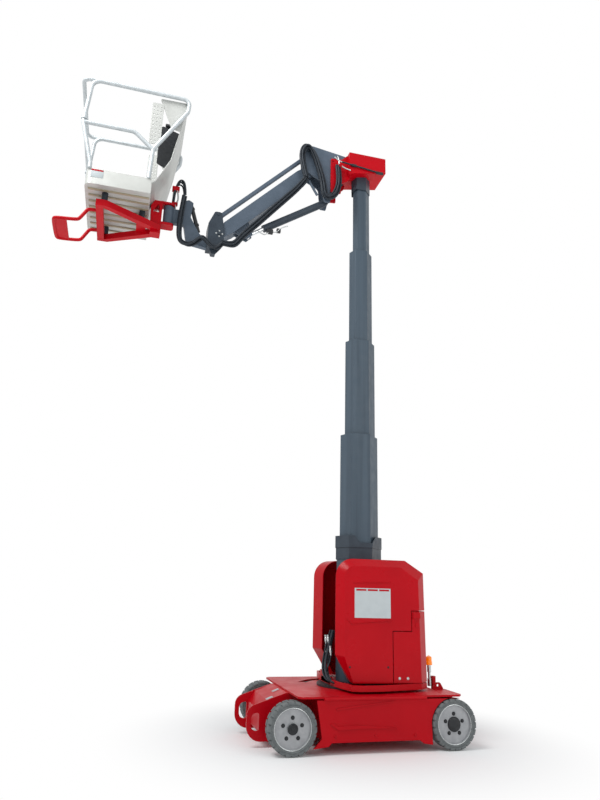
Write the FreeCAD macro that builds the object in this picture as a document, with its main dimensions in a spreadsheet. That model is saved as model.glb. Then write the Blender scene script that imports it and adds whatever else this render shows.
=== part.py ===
import FreeCAD, Part
import math
import os
import Sketcher

from FreeCAD import Placement, Rotation, Vector

# A self-propelled vertical mast lift, in millimetres.
# X points forwards, Y to the left, Z up. The origin is on the ground under the slewing axis,
# midway between the axles.

doc = FreeCAD.newDocument("mast_lift")
sheet = doc.addObject("Spreadsheet::Sheet", "dim")

# Driving dimensions: name, value, what it measures.
SIZES = [
    ("wheelbase", 1350, "front axle to rear axle"),
    ("overall_width", 1200, "over the tyres"),
    ("tyre_diameter", 381, "outside of the tread"),
    ("tyre_width", 127, "tread width"),
    ("tyre_shoulder", 14, "round of the tread's edge"),
    ("rim_diameter", 300, "seat of the tyre on the rim"),
    ("rim_wall", 9, "thickness of the rim's barrel"),
    ("disc_thickness", 12, "wheel disc"),
    ("disc_inset", 26, "disc behind the tyre's outer face"),
    ("hub_radius", 42, "hub cap in the middle of the disc"),
    ("hub_length", 34, "hub cap in front of the disc"),
    ("bolt_circle", 78, "radius of the wheel bolts"),
    ("bolt_hole", 6, "radius of a wheel bolt hole"),
    ("spindle_radius", 28, "stub axle of a wheel"),
    ("running_gap", 0.3, "clearance of a pin or bearing"),
    ("moving_gap", 6, "clearance between moving pieces"),
    ("drive_radius", 88, "final drive behind a rear wheel"),
    ("kingpin_y", 462, "kingpin from the centre plane"),
    ("kingpin_radius", 34, "kingpin barrel"),
    ("ear_thickness", 24, "one ear of the steering fork"),
    ("knuckle_height", 118, "kingpin barrel between the ears"),
    ("deck_top", 410, "deck above the ground"),
    ("deck_plate", 15, "thickness of the deck"),
    ("deck_rear", 760, "rear edge of the deck behind the slewing axis"),
    ("deck_front", 470, "front edge of the flat deck"),
    ("deck_half", 580, "half width of the deck"),
    ("deck_corner", 40, "cut corner of the deck"),
    ("skirt_thickness", 18, "side plate between the wheels"),
    ("skirt_front", 436, "front edge of a side plate"),
    ("skirt_rear", 446, "rear edge of a side plate"),
    ("skirt_bottom", 85, "lower edge of a side plate"),
    ("foot_bottom", 48, "lowest point of the chassis"),
    ("foot_reach", 36, "flare of the lower corners"),
    ("tail_lip", 87, "depth of the side plate's arch in front of a rear wheel"),
    ("arch_gap", 8, "clearance between a rear tyre and its arch"),
    ("hull_bottom", 95, "underside of the chassis"),
    ("hull_front", 430, "front of the wide part of the chassis"),
    ("tail_half", 430, "half width between the rear wheels"),
    ("tail_bottom", 120, "underside between the rear wheels"),
    ("nose_half", 250, "half width of the nose between the front wheels"),
    ("nose_cheek", 18, "thickness of a nose side plate"),
    ("nose_front", 960, "foremost point of the nose"),
    ("nose_low", 66, "underside of the nose"),
    ("nose_high", 250, "top of the nose at its front"),
    ("nose_round", 75, "round of a nose side plate"),
    ("tie_hole", 22, "radius of a tie-down hole"),
    ("ring_radius", 300, "slewing ring outside"),
    ("ring_height", 18, "slewing ring above the deck"),
    ("base_plate", 18, "thickness of the turret base"),
    ("cover_inner", 186, "inner edge of a cover from the centre plane"),
    ("cover_wall", 7, "thickness of a cover"),
    ("cover_front", 258, "front face of the covers"),
    ("cover_rear", 556, "rear face of the covers"),
    ("cover_top", 1468, "top of the covers"),
        ("weight_half", 165, "half width of the counterweight"),
    ("hinge_radius", 8, "knuckle of a cover's hinge"),
    ("hinge_pin", 4, "pin of a cover's hinge"),
    ("hinge_height", 60, "length of a hinge knuckle"),
    ("hinge_low", 1090, "lower hinge of a cover above the ground"),
    ("hinge_high", 1270, "upper hinge of a cover above the ground"),
    ("battery_top", 900, "top of a battery block"),
    ("weight_front", 340, "front face of the counterweight"),
    ("panel_front", 228, "front joint of the fixed side panel"),
    ("panel_step", 880, "height of the lower step of the side panel"),
    ("panel_notch", 396, "front of the side panel's upper step"),
    ("panel_top", 1046, "top of the fixed side panel"),
    ("mast_x", -90, "mast axis from the slewing axis"),
    ("mast_wall", 7, "wall of a mast section"),
    ("pad_height", 60, "guide pad at the mouth of a section"),
    ("pad_gap", 0.4, "clearance of a guide pad"),
    ("outer_width", 400, "outer mast, front edge to rear edge"),
    ("outer_top", 1682, "mouth of the outer mast"),
    ("first_width", 350, "first moving section"),
    ("first_top", 2640, "mouth of the first section as raised"),
    ("second_width", 300, "second moving section"),
    ("second_top", 3612, "mouth of the second section as raised"),
    ("third_width", 250, "third moving section"),
    ("third_top", 4628, "mouth of the third section as raised"),
    ("fourth_width", 198, "fourth moving section"),
        ("section_length", 1200, "length of a moving section"),
    ("collar_width", 424, "collar round the outer mast"),
    ("collar_foot", 1474, "lower edge of the collar"),
    ("head_half", 157, "half width of the mast head"),
    ("head_wall", 10, "plates of the mast head"),
    ("head_top", 5760, "top of the mast head as raised"),
    ("head_low", 5545, "lower edge of the mast head"),
    ("head_rear", 322, "rear of the mast head behind the slewing axis"),
    ("head_front", 95, "front of the mast head's box"),
    ("sleeve_foot", 5370, "lower edge of the sleeve under the head"),
    ("sleeve_wall", 8, "thickness of the sleeve"),
    ("jib_x", 500, "jib pivot from the slewing axis"),
    ("jib_z", 5515, "jib pivot above the ground as raised"),
    ("jib_length", 1340, "jib pivot to knuckle pivot"),
    ("jib_drop", 46, "degrees below level as shown"),
    ("jib_half", 60, "half width of the jib beam"),
    ("jib_depth", 140, "height of the jib beam"),
    ("jib_eye", 44, "radius of the jib's end eyes"),
    ("jib_pin", 18, "radius of the jib's pins"),
    ("link_rise", 210, "levelling tube's pivot from the jib's"),
    ("link_lean", 85, "direction of that offset, degrees from level"),
    ("link_radius", 25, "levelling tube"),
    ("link_eye", 30, "radius of the levelling tube's eyes"),
    ("cheek_thickness", 15, "plates of the head bracket and knuckle"),
    ("cheek_inner", 67, "inner face of those plates from the centre"),
    ("ram_x", 316, "foot of the lift cylinder"),
    ("ram_z", 5178, "foot of the lift cylinder above the ground"),
    ("ram_along", 1084, "cylinder's rod pin along the jib"),
    ("ram_below", 160, "cylinder's rod pin below the jib's axis"),
    ("barrel_radius", 38, "lift cylinder barrel"),
    ("barrel_length", 800, "lift cylinder barrel"),
    ("rod_radius", 20, "lift cylinder rod"),
    ("bore_start", 70, "cylinder foot pin to the end of its bore"),
    ("rod_start", 130, "cylinder foot pin to the rod's inner end, as the machine stands"),
    ("ram_eye", 32, "radius of the lift cylinder's eyes"),
    ("ram_eye_half", 17, "half width of the lift cylinder's eyes"),
    ("rotator_x", 1930, "basket's turning axis"),
    ("rotator_radius", 52, "rotator housing"),
    ("rotator_low", 4600, "underside of the rotator"),
    ("rotator_high", 4790, "top of the rotator"),
    ("floor_rear", 2120, "rear edge of the basket floor"),
    ("floor_front", 2700, "front edge of the basket floor"),
    ("floor_half", 430, "half width of the basket floor"),
    ("floor_z", 4640, "basket floor"),
    ("floor_plate", 6, "thickness of the basket's sheets"),
    ("toe_height", 150, "toe board"),
    ("rail_radius", 19, "guard rail tube"),
    ("rail_top", 5740, "middle of the top rail"),
    ("rail_mid", 5262, "middle of the mid rail"),
    ("drop_z", 5312, "entry bar above the ground"),
    ("rail_half", 425, "side rails from the centre plane"),
]

for row, (name, value, note) in enumerate(SIZES, 1):
    sheet.set("A%d" % row, note)
    sheet.set("B%d" % row, str(value))
    sheet.setAlias("B%d" % row, name)
doc.recompute()


class Size:
    """A number together with the expression that gives it from the sheet."""

    def __init__(self, value, text):
        self.value = value
        self.text = text

    def __add__(self, other):
        other = as_size(other)
        return Size(self.value + other.value, "(%s + %s)" % (self.text, other.text))

    def __radd__(self, other):
        return as_size(other) + self

    def __sub__(self, other):
        other = as_size(other)
        return Size(self.value - other.value, "(%s - %s)" % (self.text, other.text))

    def __rsub__(self, other):
        return as_size(other) - self

    def __mul__(self, other):
        other = as_size(other)
        return Size(self.value * other.value, "(%s * %s)" % (self.text, other.text))

    def __rmul__(self, other):
        return as_size(other) * self

    def __truediv__(self, other):
        other = as_size(other)
        return Size(self.value / other.value, "(%s / %s)" % (self.text, other.text))

    def __neg__(self):
        return Size(-self.value, "(-%s)" % self.text)


def as_size(number):
    return number if isinstance(number, Size) else Size(float(number), repr(float(number)))


def cosine(degrees):
    degrees = as_size(degrees)
    return Size(math.cos(math.radians(degrees.value)), "cos(%s * 1 deg)" % degrees.text)


def sine(degrees):
    degrees = as_size(degrees)
    return Size(math.sin(math.radians(degrees.value)), "sin(%s * 1 deg)" % degrees.text)


class Names:
    """The sheet's cells by name."""


d = Names()
for name, value, note in SIZES:
    setattr(d, name, Size(float(getattr(sheet, name)), "dim." + name))


def bind(item, path, number):
    item.setExpression(path, as_size(number).text)


AXES = {"x": Rotation(Vector(0, 1, 0), 90), "y": Rotation(Vector(1, 0, 0), -90), "z": Rotation()}
PLANES = {"top": "XY_Plane", "side": "XZ_Plane", "front": "YZ_Plane"}


def place(item, at, rotation=None, tilt=None):
    """Put an item at a point; tilt is degrees nose-down about the Y axis."""
    item.Placement = Placement(Vector(*[as_size(n).value for n in at]), rotation or Rotation())
    if tilt is not None:
        item.Placement = Placement(item.Placement.Base, Rotation(Vector(0, 1, 0), tilt.value))
        bind(item, "Placement.Rotation.Angle", tilt)
    for path, number in zip(("x", "y", "z"), at):
        bind(item, "Placement.Base." + path, number)
    return item


def pin_point(sketch, shape, end, x, y):
    """Hold one point of a sketch at its two bound coordinates."""
    for kind, number in (("DistanceX", x), ("DistanceY", y)):
        index = sketch.addConstraint(Sketcher.Constraint(kind, -1, 1, shape, end, as_size(number).value))
        bind(sketch, "Constraints[%d]" % index, number)


def outline(sketch, corners):
    """Draw a closed outline; a corner is (x, y), or (x, y, radius) where it is rounded."""
    count = len(corners)
    points = [Vector(as_size(c[0]).value, as_size(c[1]).value, 0) for c in corners]
    radii = [as_size(c[2]).value if len(c) > 2 else 0.0 for c in corners]
    ends = []
    for i, point in enumerate(points):
        before = (points[i - 1] - point).normalize()
        after = (points[(i + 1) % count] - point).normalize()
        reach = 0.0
        if radii[i]:
            reach = radii[i] / math.tan(before.getAngle(after) / 2)
        ends.append((point + before * reach, point + after * reach))
    lines = []
    for i in range(count):
        lines.append(sketch.addGeometry(Part.LineSegment(ends[i][1], ends[(i + 1) % count][0])))
    for i, corner in enumerate(corners):
        before, after = lines[i - 1], lines[i]
        if not radii[i]:
            sketch.addConstraint(Sketcher.Constraint("Coincident", before, 2, after, 1))
            pin_point(sketch, after, 1, corner[0], corner[1])
            continue
        arrive, leave = ends[i]
        first = (points[i - 1] - points[i]).normalize()
        second = (points[(i + 1) % count] - points[i]).normalize()
        inward = (first + second).normalize()
        centre = points[i] + inward * (radii[i] / math.sin(first.getAngle(second) / 2))
        left_turn = first.cross(second).z < 0
        start, stop = (arrive, leave) if left_turn else (leave, arrive)
        angles = [math.atan2(p.y - centre.y, p.x - centre.x) for p in (start, stop)]
        circle = Part.Circle(centre, Vector(0, 0, 1), radii[i])
        arc = sketch.addGeometry(Part.ArcOfCircle(circle, angles[0], angles[1]))
        come, go = (1, 2) if left_turn else (2, 1)
        sketch.addConstraint(Sketcher.Constraint("Tangent", before, 2, arc, come))
        sketch.addConstraint(Sketcher.Constraint("Tangent", arc, go, after, 1))
        index = sketch.addConstraint(Sketcher.Constraint("Radius", arc, radii[i]))
        bind(sketch, "Constraints[%d]" % index, corner[2])
        vertex = sketch.addGeometry(Part.Point(points[i]), True)
        sketch.addConstraint(Sketcher.Constraint("PointOnObject", vertex, 1, before))
        sketch.addConstraint(Sketcher.Constraint("PointOnObject", vertex, 1, after))
        pin_point(sketch, vertex, 1, corner[0], corner[1])


def ring(sketch, x, y, radius):
    centre = Vector(as_size(x).value, as_size(y).value, 0)
    shape = sketch.addGeometry(Part.Circle(centre, Vector(0, 0, 1), as_size(radius).value))
    pin_point(sketch, shape, 3, x, y)
    index = sketch.addConstraint(Sketcher.Constraint("Radius", shape, as_size(radius).value))
    bind(sketch, "Constraints[%d]" % index, radius)


def new_sketch(body, name, plane, lift=None):
    sketch = body.newObject("Sketcher::SketchObject", name)
    role = PLANES[plane]
    sketch.AttachmentSupport = [(p, "") for p in body.Origin.OriginFeatures if p.Role == role]
    sketch.MapMode = "FlatFace"
    if lift is not None:
        bind(sketch, "AttachmentOffset.Base.z", lift)
    return sketch


def new_body(label):
    body = doc.addObject("PartDesign::Body", label)
    body.Label = label
    body.AllowCompound = True
    return body


def pad(body, sketch, depth, centred):
    feature = body.newObject("PartDesign::Pad", body.Label + "_pad")
    feature.Profile = sketch
    feature.Midplane = centred
    bind(feature, "Length", depth)
    body.Tip = feature
    return feature


def prism(label, plane, corners, depth, at=(0, 0, 0), holes=(), inner=(), tilt=None, centred=None):
    """A plate or bar: an outline, with round holes and inner outlines, given a thickness."""
    body = new_body(label)
    sketch = new_sketch(body, label + "_outline", plane)
    outline(sketch, corners)
    for hole in holes:
        ring(sketch, *hole)
    for loop in inner:
        outline(sketch, loop)
    if centred is None:
        centred = plane != "top"
    pad(body, sketch, depth, centred)
    return place(body, at, tilt=tilt)


def turned(label, corners, at=(0, 0, 0), rotation=None):
    """A turned piece: an outline of (radius, height) points revolved round its own Z axis."""
    body = new_body(label)
    sketch = new_sketch(body, label + "_section", "side")
    outline(sketch, corners)
    feature = body.newObject("PartDesign::Revolution", label + "_turn")
    feature.Profile = sketch
    feature.ReferenceAxis = (sketch, ["V_Axis"])
    feature.Angle = 360
    body.Tip = feature
    return place(body, at, rotation)


def rod(label, radius, length, at, along="y", centred=True, tilt=None):
    item = doc.addObject("Part::Cylinder", label)
    item.Label = label
    bind(item, "Radius", radius)
    bind(item, "Height", length)
    start = list(at)
    if centred:
        axis = "xyz".index(along)
        start[axis] = as_size(at[axis]) - as_size(length) / 2
    return place(item, start, AXES[along], tilt)


def block(label, low, high):
    item = doc.addObject("Part::Box", label)
    item.Label = label
    for path, lo, hi in zip(("Length", "Width", "Height"), low, high):
        bind(item, path, as_size(hi) - as_size(lo))
    return place(item, low)


def fused(label, *items):
    item = doc.addObject("Part::MultiFuse", label)
    item.Label = label
    item.Shapes = list(items)
    return item


def cut(label, base, *tools):
    item = doc.addObject("Part::Cut", label)
    item.Label = label
    item.Base = base
    item.Tool = tools[0] if len(tools) == 1 else fused(label + "_tools", *tools)
    return item


def common(label, base, tool):
    item = doc.addObject("Part::Common", label)
    item.Label = label
    item.Base = base
    item.Tool = tool
    return item


def mirrored(label, source):
    item = doc.addObject("Part::Mirroring", label)
    item.Label = label
    item.Source = source
    item.Normal = Vector(0, 1, 0)
    return item


def bent_path(points, bend):
    """Straight runs through the points, joined by tangent arcs of one radius."""
    points = [Vector(*[as_size(n).value for n in p]) for p in points]
    edges = []
    start = points[0]
    for i in range(1, len(points) - 1):
        back = (points[i - 1] - points[i]).normalize()
        ahead = (points[i + 1] - points[i]).normalize()
        half = back.getAngle(ahead) / 2
        reach = bend / math.tan(half)
        room = 0.48 * min((points[i - 1] - points[i]).Length, (points[i + 1] - points[i]).Length)
        reach = min(reach, room)
        radius = reach * math.tan(half)
        middle = (back + ahead).normalize() * (radius / math.sin(half) - radius)
        arrive, leave = points[i] + back * reach, points[i] + ahead * reach
        if (arrive - start).Length > 1e-6:
            edges.append(Part.LineSegment(start, arrive).toShape())
        edges.append(Part.Arc(arrive, points[i] + middle, leave).toShape())
        start = leave
    edges.append(Part.LineSegment(start, points[-1]).toShape())
    return Part.Wire(edges)


def tube_shape(points, radius, bend):
    path = bent_path(points, as_size(bend).value)
    first = path.Edges[0]
    direction = first.tangentAt(first.FirstParameter)
    section = Part.Wire([Part.Circle(path.Vertexes[0].Point, direction, as_size(radius).value).toShape()])
    return path.makePipeShell([section], True, False)


def tubes(label, runs, radius, bend):
    """Bent tubes of one radius, in one piece."""
    item = doc.addObject("Part::Feature", label)
    item.Label = label
    shapes = [tube_shape(points, radius, bend) for points in runs]
    item.Shape = shapes[0] if len(shapes) == 1 else shapes[0].multiFuse(shapes[1:])
    return item


NODES = []


def node(item):
    NODES.append(item)
    return item


axle_z = d.tyre_diameter / 2
front_x = d.wheelbase / 2
rear_x = -d.wheelbase / 2
wheel_y = d.overall_width / 2 - d.tyre_width / 2
deck_under = d.deck_top - d.deck_plate
SIDES = [("left", 1), ("right", -1)]


# Chassis

def chassis():
    hull = prism("hull_box", "top", [
        (-d.skirt_rear, -(d.deck_half - d.skirt_thickness)), (d.hull_front, -(d.deck_half - d.skirt_thickness)),
        (d.hull_front, d.deck_half - d.skirt_thickness), (-d.skirt_rear, d.deck_half - d.skirt_thickness)],
        deck_under - d.hull_bottom, at=(0, 0, d.hull_bottom))
    tail = prism("tail_box", "side", [
        (-d.skirt_rear, d.tail_bottom), (-d.skirt_rear, deck_under), (-(d.deck_rear - 12), deck_under),
        (-(d.deck_rear - 12), deck_under - 90), (-(d.deck_rear - 70), d.tail_bottom)], d.tail_half * 2)
    nose = prism("nose_box", "side", [
        (d.hull_front, d.nose_low + 20), (d.nose_front - 60, d.nose_low + 20), (d.nose_front - 14, d.nose_low + 70),
        (d.nose_front - 14, d.nose_high - 60), (d.nose_front - 60, d.nose_high),
        (d.deck_front + 30, deck_under), (d.hull_front, deck_under)], d.nose_half * 2)
    node(fused("chassis_frame", hull, tail, nose))
    corner = d.deck_half - d.deck_corner
    node(prism("deck", "top", [
        (-d.deck_rear, -corner), (-(d.deck_rear - d.deck_corner), -d.deck_half),
        (d.deck_front - d.deck_corner, -d.deck_half), (d.deck_front, -corner),
        (d.deck_front, corner), (d.deck_front - d.deck_corner, d.deck_half),
        (-(d.deck_rear - d.deck_corner), d.deck_half), (-d.deck_rear, corner)],
        d.deck_plate, at=(0, 0, deck_under)))
    for side, sign in SIDES:
        middle = sign * (d.deck_half - d.skirt_thickness / 2)
        skirt = prism("skirt_sheet_" + side, "side", [
            (d.skirt_front, deck_under), (-(d.deck_rear - d.deck_corner), deck_under),
            (-(d.deck_rear - d.deck_corner), deck_under - d.tail_lip), (-d.skirt_rear, deck_under - d.tail_lip),
            (-d.skirt_rear, d.skirt_bottom + 50), (-(d.skirt_rear + d.foot_reach), d.foot_bottom),
            (-(d.skirt_rear - 40), d.foot_bottom + 12), (-(d.skirt_rear - 75), d.skirt_bottom),
            (d.skirt_front - 75, d.skirt_bottom), (d.skirt_front - 40, d.foot_bottom + 12),
            (d.skirt_front + d.foot_reach, d.foot_bottom), (d.skirt_front, d.skirt_bottom + 50)],
            d.skirt_thickness, at=(0, middle, 0))
        arch = rod("rear_arch_" + side, d.tyre_diameter / 2 + d.arch_gap, d.skirt_thickness * 3,
                   (rear_x, middle, axle_z), "y")
        node(cut("side_skirt_" + side, skirt, arch))
        node(prism("nose_plate_" + side, "side", [
            (d.hull_front, d.nose_low), (d.nose_front, d.nose_low, d.nose_round),
            (d.nose_front, d.nose_high, d.nose_round * 0.8), (d.deck_front + 30, deck_under), (d.hull_front, deck_under)],
            d.nose_cheek, at=(0, sign * (d.nose_half + d.nose_cheek / 2), 0),
            holes=[(d.nose_front - 62, d.nose_low + 92, d.tie_hole)]))


chassis()


# Axles, steering and wheels

def running_gear():
    arm_start = d.nose_half + d.nose_cheek
    ear_radius = d.kingpin_radius + 8
    half = d.knuckle_height / 2
    arms = []
    for side, sign in SIDES:
        reach = d.kingpin_y - ear_radius + 6 - arm_start
        middle = sign * (arm_start + reach / 2)
        arms.append(prism("axle_arm_" + side, "front", [
            (-reach / 2, -(half + d.ear_thickness)), (reach / 2, -(half + d.ear_thickness)),
            (reach / 2, half + d.ear_thickness), (-reach / 2, half + d.ear_thickness)],
            ear_radius * 2, at=(front_x, middle, axle_z)))
        for level in (-1, 1):
            lower = axle_z + level * (half + d.ear_thickness / 2 + 0.5) - d.ear_thickness / 2
            arms.append(rod("ear_%s_%d" % (side, level + 1), ear_radius, d.ear_thickness,
                            (front_x, sign * d.kingpin_y, lower), "z", centred=False))
    arms_joined = fused("axle_arms", *arms)
    gaps = [rod("fork_gap_" + side, ear_radius + 4, d.knuckle_height + 1,
                (front_x, sign * d.kingpin_y, axle_z), "z") for side, sign in SIDES]
    node(cut("front_axle", arms_joined, *gaps))
    flanges = []
    for side, sign in SIDES:
        flange_end = wheel_y + d.tyre_width / 2 - d.disc_inset - d.disc_thickness - d.running_gap
        length = flange_end - d.tail_half
        flanges.append(rod("final_drive_" + side, d.drive_radius, length,
                           (rear_x, sign * (d.tail_half + length / 2), axle_z), "y"))
    node(fused("rear_final_drives", *flanges))
    for side, sign in SIDES:
        barrel = rod("kingpin_" + side, d.kingpin_radius, d.knuckle_height,
                     (front_x, sign * d.kingpin_y, axle_z), "z")
        disc_face = wheel_y + d.tyre_width / 2 - d.disc_inset - d.disc_thickness - d.running_gap
        length = disc_face - d.kingpin_y
        spindle = rod("spindle_" + side, d.spindle_radius, length,
                      (front_x, sign * (d.kingpin_y + length / 2), axle_z), "y")
        node(fused("steering_knuckle_" + side, barrel, spindle))
    for end, x in (("front", front_x), ("rear", rear_x)):
        for side, sign in SIDES:
            wheel(end + "_" + side, x, sign)


def wheel(name, x, sign):
    """A solid tyre on a steel rim; heights run outwards from the wheel's middle plane."""
    rotation = Rotation(Vector(1, 0, 0), -90 * sign)
    outer, seat, half = d.tyre_diameter / 2, d.rim_diameter / 2, d.tyre_width / 2
    at = (x, sign * wheel_y, axle_z)
    node(turned("tyre_" + name, [
        (seat, -half + 6), (seat + 8, -half), (outer, -half, d.tyre_shoulder),
        (outer, half, d.tyre_shoulder), (seat + 8, half), (seat, half - 6)], at, rotation))
    disc = half - d.disc_inset
    rim = turned("rim_body_" + name, [
        (0, disc - d.disc_thickness), (seat - d.rim_wall, disc - d.disc_thickness), (seat - d.rim_wall, -half + 12),
        (seat, -half + 12), (seat, half - 12), (seat - d.rim_wall, half - 12), (seat - d.rim_wall, disc),
        (d.hub_radius, disc), (d.hub_radius - 4, disc + d.hub_length - 26), (0, disc + d.hub_length - 26)], at, rotation)
    holes = []
    for i in range(5):
        angle = 90 + 72 * i
        holes.append(rod("bolt_hole_%s_%d" % (name, i), d.bolt_hole, d.tyre_width,
                         (x + d.bolt_circle * math.cos(math.radians(angle)), sign * wheel_y,
                          axle_z + d.bolt_circle * math.sin(math.radians(angle))), "y"))
    node(cut("rim_" + name, rim, *holes))


running_gear()


# Slewing ring and turret

def mast_outline(width, x=None):
    """The mast's six-sided section: shallow to the front, deeper to the rear."""
    front, flat, half = width * 0.15, width * 0.5, width * 0.38
    return [(width * 0.5, 0), (width * 0.5 - front, half), (width * 0.5 - front - flat, half),
            (-width * 0.5, 0), (width * 0.5 - front - flat, -half), (width * 0.5 - front, -half)]


WALL_SHARE = 2.6
base_foot = d.deck_top + d.ring_height + d.running_gap
base_top = base_foot + d.base_plate
cover_foot = base_top + d.moving_gap
hinge_x = d.cover_rear - d.hinge_radius
hinge_y = d.cover_inner - d.hinge_radius


def turret():
    node(rod("slewing_ring", d.ring_radius, d.ring_height, (0, 0, d.deck_top), "z", centred=False))
    node(prism("turret_base", "top", [
        (225, -140), (225, 140), (150, 262), (-40, 352), (-470, 396), (-545, 330),
        (-545, -330), (-470, -396), (-40, -352), (150, -262)],
        d.base_plate, at=(0, 0, base_foot)))
    weight = prism("weight_block", "side", [
        (-d.weight_front, base_top), (-d.weight_front, d.cover_top - 40), (-(d.weight_front + 60), d.cover_top - 20),
        (-(d.cover_rear - 12), d.cover_top - 120), (-(d.cover_rear - 8), base_top)], d.weight_half * 2)
    node(fused("counterweight", weight, *hinge_posts()))
    for side, sign in SIDES:
        low, high = (185, 290) if sign > 0 else (-290, -185)
        node(block("battery_" + side, (-320, low, base_top), (-20, high, d.battery_top)))


def hinge_posts():
    """The fixed halves of the cover hinges: a post, a pin and the tabs that carry them."""
    posts = []
    for side, sign in SIDES:
        for name, middle in (("low", d.hinge_low), ("high", d.hinge_high)):
            tag = "%s_%s" % (side, name)
            y = sign * hinge_y
            posts.append(rod("hinge_pin_" + tag, d.hinge_pin, d.hinge_height * 2, (-hinge_x, y, middle), "z"))
            for end, shift in (("below", -1), ("above", 1)):
                centre = middle + shift * (d.hinge_height * 0.75 + d.running_gap)
                posts.append(rod("hinge_post_%s_%s" % (tag, end), d.hinge_radius, d.hinge_height / 2,
                                 (-hinge_x, y, centre), "z"))
                low, high = (d.weight_half - 10, hinge_y) if sign > 0 else (-hinge_y, 10 - d.weight_half)
                posts.append(block("hinge_tab_%s_%s" % (tag, end),
                                   (-hinge_x - 5, low, centre - d.hinge_height / 4),
                                   (-hinge_x + 5, high, centre + d.hinge_height / 4)))
    return posts


def cover():
    """One moulded side cover, open on its inner side, split where its fixed panel starts."""
    flare = [(d.cover_front, d.cover_inner), (d.cover_front, d.cover_inner + 62),
             (d.cover_front - 36, d.cover_inner + 92), (-100, 378), (-470, 426),
             (-d.cover_rear, 352), (-d.cover_rear, d.cover_inner)]
    profile = [(d.cover_front - 210, base_top), (d.cover_front - 100, base_top + 48),
               (d.cover_front, base_top + 232), (d.cover_front, d.cover_top, 130),
               (-375, d.cover_top), (-545, d.cover_top - 105), (-(d.cover_rear + 2), base_top)]
    outer = shell_form("cover_form", flare, profile, 0)
    inner = shell_form("cover_hollow", flare, profile, 1)
    shell = cut("cover_shell", outer, inner)
    panel_low = block("panel_low", (-d.cover_rear - 10, 0, base_top - 10),
                      (-d.panel_front, 600, d.panel_step))
    panel_high = block("panel_high", (-d.cover_rear - 10, 0, d.panel_step - 1),
                       (-d.panel_notch, 600, d.panel_top))
    gap_low = block("gap_low", (-d.cover_rear - 10, 0, base_top - 20),
                    (-d.panel_front + d.moving_gap, 600, d.panel_step + d.moving_gap))
    gap_foot = block("gap_foot", (-d.cover_rear - 10, 0, base_top - 20), (d.cover_front + 10, 600, cover_foot))
    gap_high = block("gap_high", (-d.cover_rear - 10, 0, d.panel_step - 1),
                     (-d.panel_notch + d.moving_gap, 600, d.panel_top + d.moving_gap))
    panel_box = fused("panel_box", panel_low, panel_high)
    gap_box = fused("gap_box", gap_low, gap_high, gap_foot)
    lid = cut("cover_lid", shell, gap_box)
    node(fused("cover_left", lid, *hinge_leaves()))
    node(mirrored("cover_right", doc.getObject("cover_left")))
    node(common("side_panel_left", shell, panel_box))
    node(mirrored("side_panel_right", doc.getObject("side_panel_left")))


def hinge_leaves():
    """The cover's halves of its hinges, each a bored barrel on a short leaf."""
    leaves = []
    for name, middle in (("low", d.hinge_low), ("high", d.hinge_high)):
        barrel = rod("hinge_barrel_" + name, d.hinge_radius, d.hinge_height, (-hinge_x, hinge_y, middle), "z")
        leaf = block("hinge_leaf_" + name, (-hinge_x - 8, hinge_y, middle - d.hinge_height / 2),
                     (-hinge_x + 2, hinge_y + 20, middle + d.hinge_height / 2))
        bore = rod("hinge_bore_" + name, d.hinge_pin + d.running_gap, d.hinge_height * 2,
                   (-hinge_x, hinge_y, middle), "z")
        leaves.append(cut("hinge_half_" + name, fused("hinge_solid_" + name, barrel, leaf), bore))
    return leaves


def shell_form(label, flare, profile, inset):
    """The cover's plan and its side view, met; the hollow is the same form less the wall."""
    wall = d.cover_wall * inset
    plan = []
    for x, y in flare:
        x, y = as_size(x), as_size(y)
        plan.append((x - wall if x.value > 0 else x + wall,
                     y - wall if y.value > d.cover_inner.value + 1 else y - 20 * inset))
    body = prism(label + "_plan", "top", plan, d.cover_top - base_top + 40, at=(0, 0, base_top - 20))
    side = []
    for corner in profile:
        x, z = as_size(corner[0]), as_size(corner[1])
        drop = wall
        if z.value == base_top.value:
            drop = 20 * inset
        elif z.value < d.panel_step.value:
            drop = 0
        moved = [x - wall if x.value > 0 else x + wall, z - drop]
        if len(corner) > 2:
            moved.append(corner[2] - wall)
        side.append(tuple(moved))
    view = prism(label + "_view", "side", side, d.cover_rear * 2)
    return common(label, body, view)


turret()
cover()


# Mast

MAST = [
    # node, width, top, foot, width of the section inside it, width of the section round it
    ("outer_mast", d.outer_width, d.outer_top, base_top, d.first_width, None),
    ("mast_section_1", d.first_width, d.first_top, d.first_top - d.section_length, d.second_width, d.outer_width),
    ("mast_section_2", d.second_width, d.second_top, d.second_top - d.section_length, d.third_width, d.first_width),
    ("mast_section_3", d.third_width, d.third_top, d.third_top - d.section_length, d.fourth_width, d.second_width),
    ("mast_section_4", d.fourth_width, d.head_top - d.head_wall, d.third_top - 240, None, d.third_width),
]


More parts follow.
